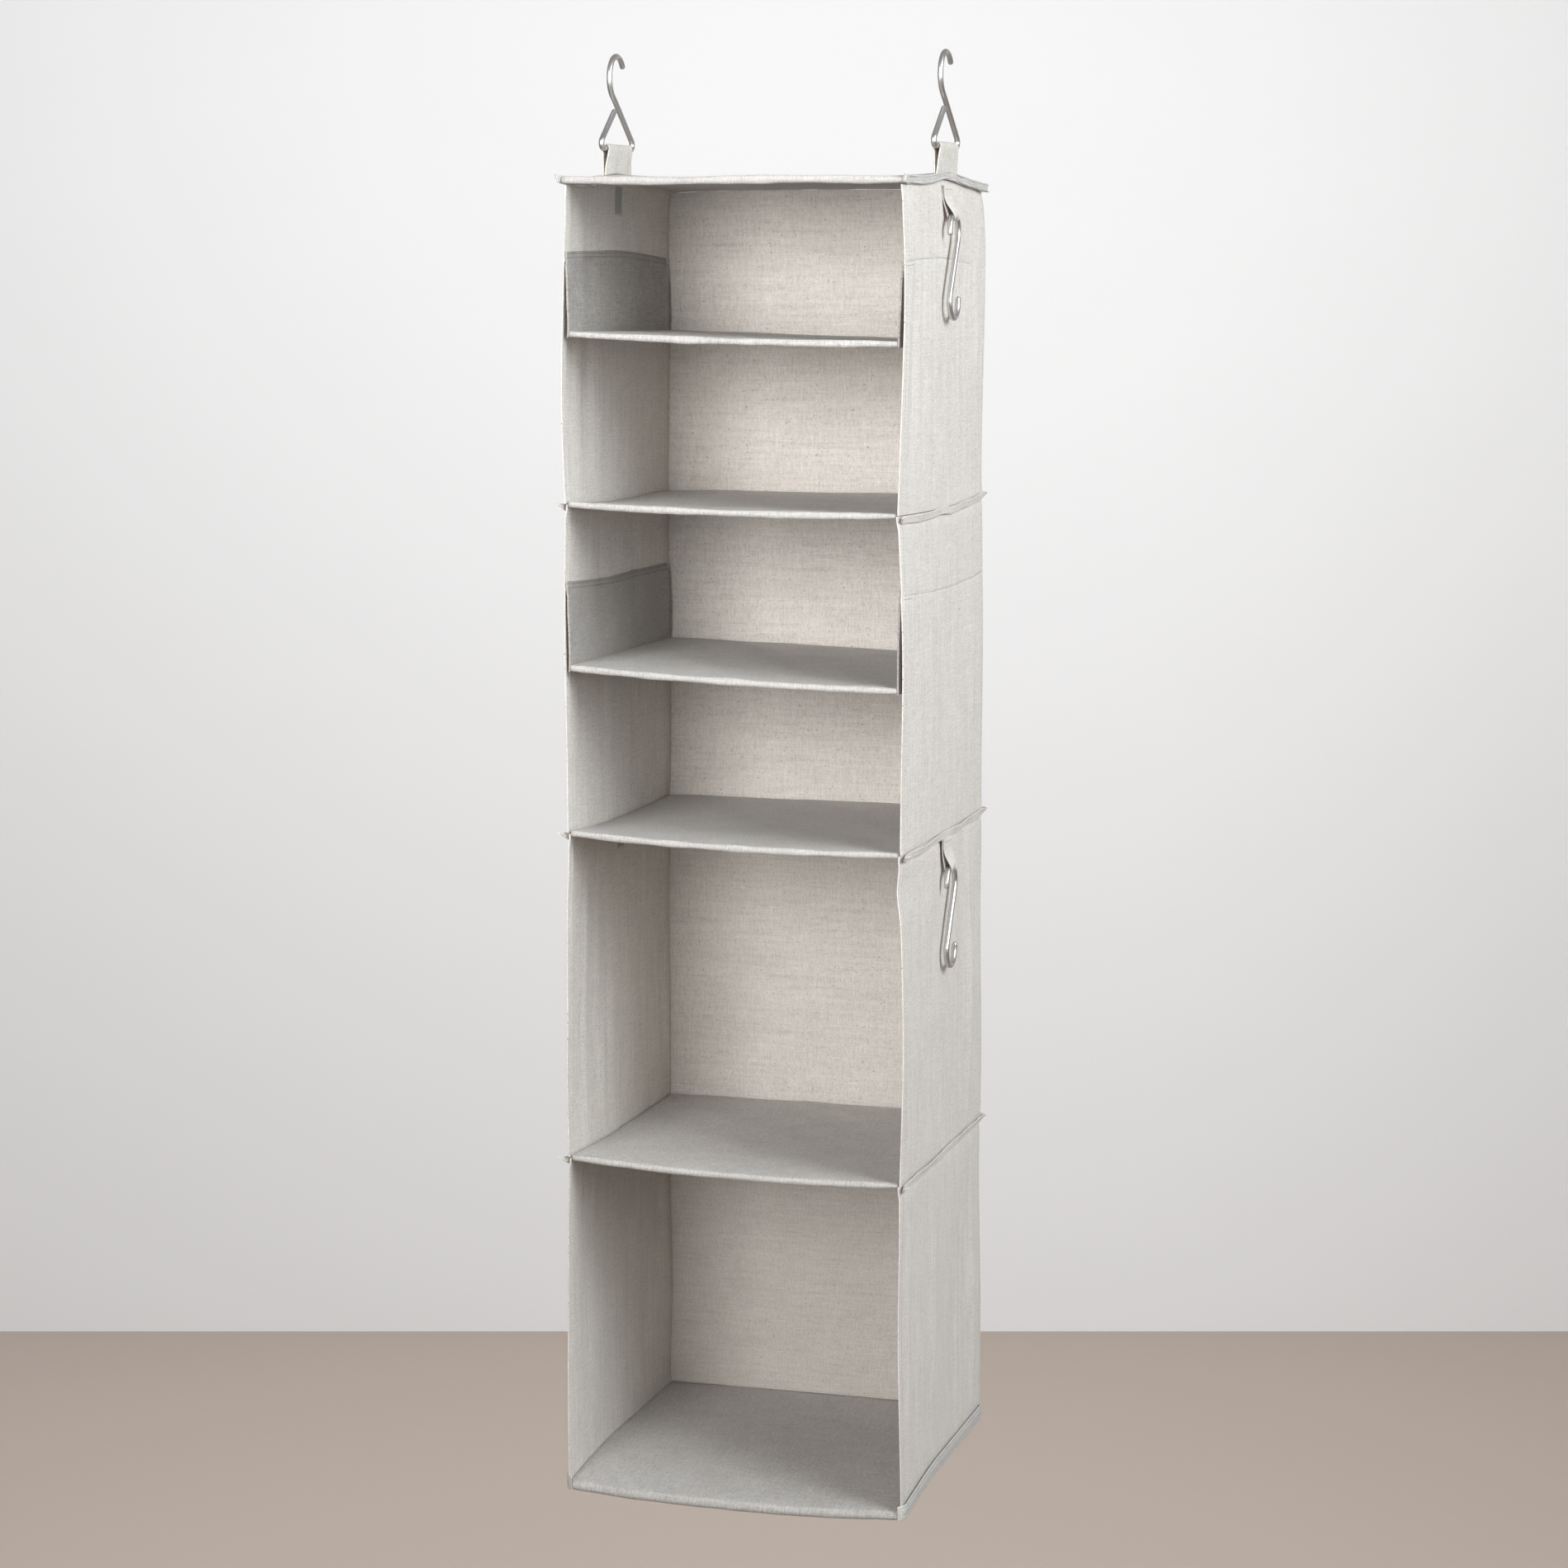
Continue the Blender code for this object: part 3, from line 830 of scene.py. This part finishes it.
def back_wall(section):
    name = f"back_{section.number}"
    width = 2 * HALF_W - 0.4 * MM
    height = section.top - section.low
    seed = 300 + section.number
    creases = make_creases(seed, width, height, 9, 0.8 * MM)
    swell = make_waves(seed + 50, 0.9 * MM, 0.10, 0.34)

    def place(u, v):
        z = section.top - v
        arch = np.sin(math.pi * unit(v / height))
        pinned = np.sin(math.pi * unit(u / width)) ** 0.4
        soft = 0.9 * MM + swell(u, v) + creases(u, v)
        y = BACK + 0.3 * MM + np.clip(soft, -0.5 * MM, 3 * MM) * arch**0.5 * pinned
        left = WALLS["left", section.number].outward(DEPTH + 0 * v, z)
        right = WALLS["right", section.number].outward(DEPTH + 0 * v, z)
        x = pulled(u - width / 2 + right * (u / width) - left * (1 - u / width), y, z)
        if section.number == 1:
            z = z + top_warp(x, BACK) * np.exp(-v / TOP_EASE)
        return x, y, z

    us, vs = stations(width, 4.6 * MM), stations(height, 4.6 * MM)
    piece = cloth(name + "_cloth", us, vs, place, WALL_T, LINEN, warp_across=True)
    stand_for(piece, name, section)


# ---- the flaps that carry the sling shelves ----
FLAP_HEM = 8 * MM
FLAP_SIDE_HEM = 5 * MM
FLAP_HEM_EXTRA = 0.7 * MM
HEM_STEP = 0.6 * MM


def flap(shelf, side):
    section = FLAP_SECTIONS[shelf]
    wall = WALLS[side, section.number]
    node = f"{shelf}_flap_{side}"
    low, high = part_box(node)
    sign = SIDES[side]
    level = LEVELS[shelf]
    half_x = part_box(shelf + "_cover")[1].x + level.wider * MM
    height = high.z - low.z
    length = high.y - low.y
    swell = make_waves(400 + sign + 7 * section.number, 0.5 * MM, 0.04, 0.14)

    def place(u, v):
        share = unit(v / height)
        depth = u * (1 - 0.010 * share) + low.y - FRONT
        follow = wall.lifted(depth, high.z) - high.z
        z = high.z - v + (wall.flap_rise(depth) + follow) * (1 - share)
        z = z + sling_lift(level, 0.5 - sign * 0.5, depth + FRONT) * share
        against = HALF_W + wall.outward(depth, z) - hem_thickness(depth, z)
        on_shelf = half_x + 0.4 * MM
        lean = share**1.4
        loose = np.exp(-u / 14e-3) + 1.1 * np.exp(-(length - u) / 12e-3)
        soft = (np.minimum(swell(u, v), 0) - 1.5 * MM * loose) * np.sin(math.pi * share) ** 0.7
        x = against * (1 - lean) + on_shelf * lean + soft - FLAP_T / 2 * (1 - 2 * lean)
        return pulled(sign * x, depth + FRONT, z), depth + FRONT, z

    def thickness(u, v):
        side_hem = unit((FLAP_SIDE_HEM - np.minimum(u, length - u)) / HEM_STEP)
        top_hem = unit((FLAP_HEM - v) / HEM_STEP)
        return FLAP_T + FLAP_HEM_EXTRA * np.maximum(side_hem, top_hem)

    us = stations(length, 4 * MM, lines=(FLAP_SIDE_HEM, length - FLAP_SIDE_HEM))
    vs = stations(height, 3.4 * MM, lines=(FLAP_HEM, 3 * MM))
    piece = cloth(f"{node}_cloth", us, vs, place, thickness, FLAP_GREY, warp_across=True)
    stand_for(piece, node, section)

    def along(drop):
        def at(s):
            x, y, z = place(s, drop + 0 * s)
            return x - sign * 0.95 * MM, y, z

        return at

    rows = [
        row_of_stitches(along(drop), length - 4 * MM, begin=2 * MM, pitch=CLOSE_PITCH)
        for drop in (1.9 * MM, 5.6 * MM)
    ]
    threads(f"{node}_stitches", rows, (-sign, 0, 0), DARK_THREAD, section)


# ---- strips sewn round the outside ----
def ring_path(out, corner, wrap, front_y):
    """A plan line round both sides and the back, starting and ending at the front edges.

    wrap is how far its ends turn in round the two front corners, in degrees.
    """
    x, y = HALF_W + out, BACK + out
    front = front_y + corner
    points = arc((-(x - corner), front), corner, 180 + wrap, 180, 6) if wrap else [(-x, front_y)]
    points += [(-x, t) for t in np.linspace(points[-1][1], y - corner, 40)[1:]]
    points += arc((-(x - corner), y - corner), corner, 180, 90, 6)[1:]
    points += [(t, y) for t in np.linspace(-(x - corner), x - corner, 40)[1:]]
    points += arc((x - corner, y - corner), corner, 90, 0, 6)[1:]
    points += [(x, t) for t in np.linspace(y - corner, front if wrap else front_y, 40)[1:]]
    if wrap:
        points += arc((x - corner, front), corner, 0, -wrap, 6)[1:]
    return Path(points)


def strip(name, node, body, path, top_z, height, shape, thickness, finish, folded):
    """A band standing on a plan path. shape(s, down) gives how far it stands out and is raised.

    A folded one runs down the outside, round its fold and up again behind itself.
    """
    fold_r = (thickness / 2 + FOLD_GAP) if folded else 0.0
    straight = height - fold_r
    cut = 2 * straight + math.pi * fold_r if folded else height

    def place(u, v):
        x, y = path.at(u)
        side_x, side_y = path.side_at(u)
        turn = np.clip((v - straight) / max(fold_r, EDGE), 0, math.pi if folded else 0)
        beyond = np.clip(v - straight - math.pi * fold_r, 0, None)
        down = np.minimum(v, straight) + fold_r * np.sin(turn) - beyond if folded else v
        out, up = shape(u, down)
        out = out - fold_r * (1 - np.cos(turn))
        across, along = x - side_x * out, y - side_y * out
        return pulled(across, along, top_z), along, top_z - down + up

    us = stations(path.length, 3.2 * MM)
    vs = stations(cut, 1.1 * MM)
    if folded:
        vs = np.concatenate([vs[vs < straight], straight + fold_r * np.linspace(0, math.pi, 7)])
        vs = np.concatenate([vs, cut - vs[vs < straight][::-1]])
    piece = cloth(name, us, vs, place, thickness, finish)
    stand_for(piece, node, body)
    return place


BAND_TIP_OUT = 6.0 * MM
BAND_CORNER_OUT = 3.2 * MM
BAND_SWAYS = 1.2 * MM
BRIM_GROOVE_DEPTH = 0.6 * MM
BRIM_GROOVE_SHARE = 0.62
BRIM_FLARES = {"left": 6.0 * MM, "right": 1.0 * MM, "rear": 0.8 * MM}


def seam_band(shelf, body, seed):
    """A folded seam allowance below a sewn shelf, with little pointed tips at its corners."""
    node = shelf.replace("shelf", "seam_band")
    low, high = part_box(node)
    height = 0.75 * (high.z - low.z)
    path = ring_path(1.0 * MM, 2.0 * MM, 0, FRONT - 3.5 * MM)
    wave = make_waves(seed, 0.55 * MM, 0.05, 0.2, count=4)
    rear = (path.length - 2 * HALF_W) / 2

    def shape(s, down):
        ends = np.minimum(s, path.length - s)
        share = down / height
        lift = seam_lift(LEVELS[shelf], *path.at(s))
        tip = bump(ends, 0, 6 * MM)
        corner = bump(ends, rear, 5 * MM)
        near_hook = bump(ends, rear / 2, 26 * MM)
        out = 0.2 * MM + (2.0 * MM + wave(s, 0)) * (1 - share) ** 1.4 * (1 - 0.62 * near_hook)
        out = out + (tip * BAND_TIP_OUT + corner * BAND_CORNER_OUT) * (1 - 0.4 * share)
        closed = (0.7 * tip + 0.75 * corner) * (down - height / 2)
        up = wave(s, 1.0) * 1.2 - BAND_SWAYS * bump(ends, 48 * MM, 36 * MM)
        up = up + tip * 2.8 * MM + corner * 1.5 * MM
        return out, up + closed + lift

    strip(
        node + "_cloth", node, body, path, high.z, height, shape, BAND_PLY, LINEN,
        folded=True,
    )


def bottom_binding():
    low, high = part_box("bottom_binding")
    height = high.z - low.z
    path = ring_path(2.4 * MM, 9 * MM, 72, FRONT - 1.6 * MM)
    wave = make_waves(77, 0.35 * MM, 0.03, 0.12, count=4)

    def shape(s, down):
        belly = 0.5 * MM * np.sin(math.pi * down / height)
        up = wave(s, 0) + corner_lift(LEVELS["bottom"], *path.at(s))
        return belly - 0.7 * MM * np.exp(-down / 1.5e-3) + wave(s, down) * 0.6, up

    place = strip(
        "bottom_binding_cloth", "bottom_binding", "level_6", path, high.z, height, shape, BAND_T,
        PALE_GREY, folded=False,
    )
    marks = np.arange(4 * MM, path.length - 4 * MM, CLOSE_PITCH)

    def on_band(along, down):
        s = marks + along * MM
        x, y, z = place(s, down * MM + 0 * s)
        side_x, side_y = path.side_at(s)
        return np.stack([x - side_x * BAND_T / 2, y - side_y * BAND_T / 2, z], axis=-1)

    side_x, side_y = path.side_at(marks)
    outward = np.stack([-side_x, -side_y, 0 * marks], axis=-1)
    top_row = (on_band(0, 1.5), on_band(1.9, 1.5))
    zig, zag = (on_band(0, 3.2), on_band(0.5, 8.4)), (on_band(0.6, 8.4), on_band(2.5, 3.3))
    threads("binding_stitches", [top_row], outward, GREY_THREAD, "level_6")
    both = np.concatenate([outward] * 2)
    threads("binding_overlock", [zig, zag], both, PALE_THREAD, "level_6", OVERLOCK_R)


def top_brim():
    """The top panel's sewn edge: a thick double lip down both sides and across the back."""
    low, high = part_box("top_cover")
    height = high.z - low.z
    path = ring_path(1.9 * MM, 3.0 * MM, 0, FRONT - 3.2 * MM)
    wave = make_waves(88, 0.5 * MM, 0.04, 0.15, count=4)
    rear = (path.length - 2 * HALF_W) / 2

    def shape(s, down):
        ends = np.minimum(s, path.length - s)
        x, y = path.at(s)
        share = down / height
        groove = -BRIM_GROOVE_DEPTH * bump(down, height * BRIM_GROOVE_SHARE, 0.8 * MM)
        flare = bump(ends, 0, 9 * MM) * np.where(x < 0, BRIM_FLARES["left"], BRIM_FLARES["right"])
        flare = flare + bump(ends, rear, 9 * MM) * BRIM_FLARES["rear"]
        out = wave(s, 0) + groove + flare * (1 - 0.3 * share)
        up = top_warp(np.clip(x, -HALF_W, HALF_W), y) + wave(s, 0.4) * 0.6 + bump(ends, 0, 8 * MM) * 1.8 * MM
        return out, up

    place = strip(
        "top_brim", "top_cover", "organizer", path, high.z + 0.3 * MM, height, shape, BAND_T,
        PALE_GREY, folded=True,
    )

    def along(s):
        x, y, z = place(s, height * BRIM_GROOVE_SHARE + 0 * s)
        side_x, side_y = path.side_at(s)
        return x - side_x * BAND_T / 2, y - side_y * BAND_T / 2, z

    starts, ends = row_of_stitches(along, path.length - 6 * MM, begin=3 * MM)
    at_back = starts[:, 1] > BACK
    outward = np.stack([np.where(at_back, 0, np.sign(starts[:, 0])), at_back * 1.0, 0 * at_back], axis=-1)
    threads("top_brim_stitches", [(starts, ends)], outward, GREY_THREAD, "organizer")


# ---- webbing loops, tapes and their threads ----
def strap(side):
    """A wide loop over the hook's base bar; its two plies meet again where they are sewn down."""
    node = "strap_" + side
    low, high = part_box(node)
    hook_low, hook_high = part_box("rod_hook_" + side)
    wire_r = (hook_high.x - hook_low.x) / 2
    x = (low.x + high.x) / 2
    bar_z = hook_low.z + wire_r
    bend = wire_r + 0.25 * MM + STRAP_PLY / 2
    foot = 1.0 * MM
    rise = bar_z - low.z
    width = high.y - low.y
    up = [(foot + (bend - foot) * t**1.5, low.z + rise * t) for t in np.linspace(0, 1, 14)]
    loop = [(-a, b) for a, b in up[:-1]] + arc((0, bar_z), bend, 180, 0, 16) + up[:-1][::-1]
    path = Path(loop)
    swell = make_waves(500 + SIDES[side], 0.35 * MM, 0.02, 0.06)

    def place(u, v):
        across, z = path.at(u)
        y = v - width / 2
        share = unit((z - low.z) / rise)
        narrow = 1 - STRAP_NARROWS * share
        settle = (top_warp(x, y) - 0.4 * MM) * (1 - share) ** 1.5
        return x + across + swell(u, v) * share * (1 - share) * 3, y * narrow, z + settle

    us, vs = stations(path.length, 2.2 * MM), stations(width, 2.6 * MM)
    piece = cloth(node + "_loop", us, vs, place, STRAP_PLY, WEBBING, warp_across=True)
    stand_for(piece, node, "organizer")
    rows, normals = [], []
    for edge in (3 * MM, width - 3 * MM):
        for face, begin in ((-1, 1.5 * MM), (1, path.length - rise - 0.5 * MM)):

            def at(s, edge=edge, face=face):
                px, py, pz = place(s, edge + 0 * s)
                return px + face * (STRAP_PLY / 2 + 0.05 * MM), py, pz

            row = row_of_stitches(at, rise - 3 * MM, begin=begin)
            rows.append(row)
            normals.append(np.tile((face, 0, 0), (len(row[0]), 1)))
    threads(node + "_stitches", rows, np.concatenate(normals), PALE_THREAD, "organizer")


def hook_tape(row, side):
    """A tape hanging from the seam, round under the side hook's upper bend and up again."""
    node = f"hook_tape_{row}_{side}"
    body = "organizer" if row == "upper" else "level_4"
    sign = SIDES[side]
    wire_low, wire_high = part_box(f"side_hook_{row}_{side}")
    wire_r = (wire_high.x - wire_low.x) / 2
    wire_x = sign * (wire_high.x + wire_low.x) / 2
    pivot_z = wire_high.z - SIDE_HOOK_R - wire_r
    bend = wire_r + 0.3 * MM + TAPE_PLY / 2
    reach = SIDE_HOOK_R - wire_r - 0.3 * MM
    fold_z = pivot_z + reach
    root_above, root_gap = {"upper": (1.0 * MM, 0.6 * MM), "lower": (4.0 * MM, 2.4 * MM)}[row]
    top_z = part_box(node)[1].z + root_above
    width = TAPE_ROOT_W
    root_in = HALF_W + root_gap
    root_out = root_in + TAPE_PLY + 0.3 * MM
    drop = top_z - fold_z - bend

    def swing_out(start, end, t):
        """Flat against the wall at first, then out to the wire near the bottom."""
        t = unit((t - 0.35) / 0.65)
        return start + (end - start) * (3 * t**2 - 2 * t**3)

    steps = np.linspace(0, 1, 18)
    inner = [(swing_out(root_in, wire_x - bend, t), top_z - drop * t) for t in steps]
    outer = [(swing_out(root_out, wire_x + bend, t), top_z - drop * t) for t in steps][::-1]
    turn = [(wire_x + a, fold_z + bend + b) for a, b in arc((0, 0), bend, 180, 360, 12)[1:-1]]
    path = Path(inner + turn + outer)

    def place(u, v):
        x, z = path.at(u)
        share = unit((top_z - z) / (top_z - fold_z))
        bunch = unit((share - 0.3) / 0.7) ** 1.6
        y = (v - width / 2) * (1 - (1 - TAPE_BUNCHED) * bunch)
        arched = (np.sqrt(np.maximum(reach**2 - y**2, 0)) - reach) * bunch
        flat_x = pulled(sign * x, y, z)
        return flat_x + (sign * x - flat_x) * bunch, y, z + arched - 0.3 * MM * bunch

    us, vs = stations(path.length, 1.8 * MM), stations(width, 1.6 * MM)
    piece = cloth(node + "_loop", us, vs, place, TAPE_PLY, LINEN)
    stand_for(piece, node, body)
    # A short row of stitches across the tape where it is sewn on.
    marks = np.linspace(-width / 2 + 2.5 * MM, width / 2 - 2.5 * MM, 7)
    face_u = path.length - 3.5 * MM
    start = np.stack(place(face_u + 0 * marks, marks + width / 2), axis=-1)
    end = np.stack(place(face_u + 0 * marks, marks + width / 2 + 1.6 * MM), axis=-1)
    shift = np.array([sign * 0.55 * MM, 0, 0])
    threads(node + "_stitches", [(start + shift, end + shift)], (sign, 0, 0), GREY_THREAD, body)


def tape_patch(row, side):
    """Dense upright stitching on the wall's inner face, behind the root of a tape."""
    section = SECTIONS[1 if row == "upper" else 3]
    wall = WALLS[side, section.number]
    rows = []
    for number in range(PATCH_COLUMNS):
        depth = (number - PATCH_COLUMNS // 2) * PATCH_STEP - FRONT
        # Neighbouring columns start a third of a stitch apart.
        z = section.top - np.arange(3.0 + 1.1 * (number % 3), PATCH_DROP_MM, 3.3) * MM
        ends = [wall.point(depth + 0 * z, level, WALL_T + 0.05 * MM) for level in (z, z - 2.9 * MM)]
        rows.append([np.stack(end, axis=-1) for end in ends])
    name = f"tape_patch_{row}_{side}"
    threads(name, rows, (-wall.sign, 0, 0), PATCH_THREAD, section, PATCH_R)


# ---- wires ----
def rod_hook(side):
    node = "rod_hook_" + side
    low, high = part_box(node)
    radius = (high.x - low.x) / 2
    base_z = low.z + radius
    slope = math.atan2(HOOK_CROSS_Z - base_z, HOOK_APEX_Y)
    slope_deg = math.degrees(slope)
    corner_y = HOOK_APEX_Y - HOOK_CORNER_R / math.tan(slope / 2)
    corner_z = base_z + HOOK_CORNER_R
    path = arc((0, HOOK_ARC_Z), HOOK_ARC_R, HOOK_TIP_DEG, HOOK_ARC_END_DEG, 80)
    path.append(HOOK_NECK)
    path += arc((corner_y, corner_z), HOOK_CORNER_R, 90 - slope_deg, -90, 24)
    path += arc((-corner_y, corner_z), HOOK_CORNER_R, 270, 90 + slope_deg, 24)
    clear = (2 * radius + HOOK_END_GAP) / math.sin(2 * slope)
    path.append((-clear * math.cos(slope), HOOK_CROSS_Z - clear * math.sin(slope)))
    wire(node, path, (low.x + high.x) / 2, radius)


def side_hook(row, side):
    node = f"side_hook_{row}_{side}"
    low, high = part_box(node)
    radius = (high.x - low.x) / 2
    pivot_z = high.z - SIDE_HOOK_R - radius
    low_z = pivot_z - SIDE_HOOK_SPAN
    turn = math.degrees(math.asin(2 * SIDE_HOOK_R / SIDE_HOOK_SPAN))
    path = [(-SIDE_HOOK_R, pivot_z - SIDE_HOOK_LEG)]
    path += arc((0, pivot_z), SIDE_HOOK_R, 180, -turn, 48)
    path += arc((0, low_z), SIDE_HOOK_R, 180 - turn, 360, 48)
    path.append((SIDE_HOOK_R, low_z + SIDE_HOOK_LEG))
    wire(node, path, (low.x + high.x) / 2, radius)


# ---- studio ----
COOL = (0.905, 0.965, 1.0)
WHITE = (1, 1, 1)
# name: place, aim, size, power, spread in degrees, colour
LIGHTS = {
    "key_right_high": ((2.3, -0.9, 0.9), (0, 0, -0.4), (1.4, 1.4), 62, 180, COOL),
    "key_right_low": ((2.2, -1.5, 0.25), (0, 0, 0), (1.2, 1.4), 6, 80, COOL),
    "front_near": ((-0.5, -2.4, 0.45), (0, 0, -0.15), (1.2, 1.0), 4.3, 80, WHITE),
    "front_far": ((-0.5, -3.4, 0.1), (0, 0, -0.1), (1.4, 1.4), 10.4, 52, WHITE),
    "backdrop_wash": ((-0.9, 1.7, 0.9), (-1.7, 5.2, -0.9), (5.0, 1.6), 114, 180, WHITE),
}
WORLD_COLOUR = (1, 0.955, 0.915, 1)
WORLD_STRENGTH = 0.325
FLOOR_COLOUR = (0.51, 0.435, 0.385)
BACKDROP_COLOUR = (0.85, 0.865, 0.88)
AZIMUTH_DEG = 16.46
PITCH_DEG = 6.69
CAMERA_AT = (0.977, -3.292, -0.155)
LENS_MM = 88.6
FRAME_SHIFT = -0.05
FLOOR_Z = -2.70
BACKDROP_AWAY = 5.5


def area_light(name, at, aim, size, power, spread_deg, colour):
    light = bpy.data.lights.new(name, "AREA")
    light.shape = "RECTANGLE"
    light.size, light.size_y = size
    light.energy = power
    light.spread = math.radians(spread_deg)
    light.color = colour
    obj = bpy.data.objects.new(name, light)
    obj.location = at
    obj.rotation_euler = (Vector(aim) - Vector(at)).to_track_quat("-Z", "Y").to_euler()
    obj.visible_camera = False
    bpy.context.scene.collection.objects.link(obj)


def plain_finish(name, colour):
    n = Nodes(name)
    grain = n.noise(n.add("ShaderNodeTexCoord").outputs["Object"], detail=3.0, scale=40.0)
    dim = tuple(channel * 0.985 for channel in colour)
    n.surface(n.mix(grain, (*dim, 1), (*colour, 1)), 0.9)
    return n.material


def studio():
    camera = bpy.data.objects.new("camera", bpy.data.cameras.new("camera"))
    camera.data.lens = LENS_MM
    camera.data.sensor_width = 36
    camera.data.shift_y = FRAME_SHIFT
    camera.data.clip_end = 60
    camera.location = CAMERA_AT
    away = math.radians(AZIMUTH_DEG)
    camera.rotation_euler = (math.radians(90 - PITCH_DEG), 0, away)
    bpy.context.scene.collection.objects.link(camera)
    bpy.context.scene.camera = camera

    bpy.ops.mesh.primitive_plane_add(size=26, location=(0, 0, FLOOR_Z), rotation=(0, 0, away))
    floor = bpy.context.object
    floor.name = "studio_floor"
    floor.data.materials.append(plain_finish("pale_floor", FLOOR_COLOUR))
    behind = (-math.sin(away) * BACKDROP_AWAY, math.cos(away) * BACKDROP_AWAY, FLOOR_Z + 4)
    bpy.ops.mesh.primitive_plane_add(size=1, location=behind, rotation=(math.radians(90), 0, away))
    backdrop = bpy.context.object
    backdrop.name = "studio_backdrop"
    backdrop.scale = (16, 8, 1)
    backdrop.data.materials.append(plain_finish("pale_backdrop", BACKDROP_COLOUR))

    for name, settings in LIGHTS.items():
        area_light(name, *settings)

    world = bpy.data.worlds.new("studio_world")
    world.use_nodes = True
    sockets = world.node_tree.nodes["Background"].inputs
    sockets["Color"].default_value = WORLD_COLOUR
    sockets["Strength"].default_value = WORLD_STRENGTH
    bpy.context.scene.world = world
    bpy.context.scene.view_settings.view_transform = "Standard"


# ---- the whole object ----
studio()
make_levels()
top_brim()
bottom_binding()
for seed, number in enumerate((2, 4, 5), start=90):
    seam_band(f"shelf_{number}", f"level_{number}", seed)
for cloth_section in SECTIONS.values():
    back_wall(cloth_section)
    for side_name in SIDES:
        side_wall(side_name, cloth_section)
        wall_stitches(side_name, cloth_section)
for side_name in SIDES:
    for shelf_name in FLAP_SECTIONS:
        flap(shelf_name, side_name)
    rod_hook(side_name)
    strap(side_name)
    for tape_row in ("upper", "lower"):
        side_hook(tape_row, side_name)
        hook_tape(tape_row, side_name)
        tape_patch(tape_row, side_name)
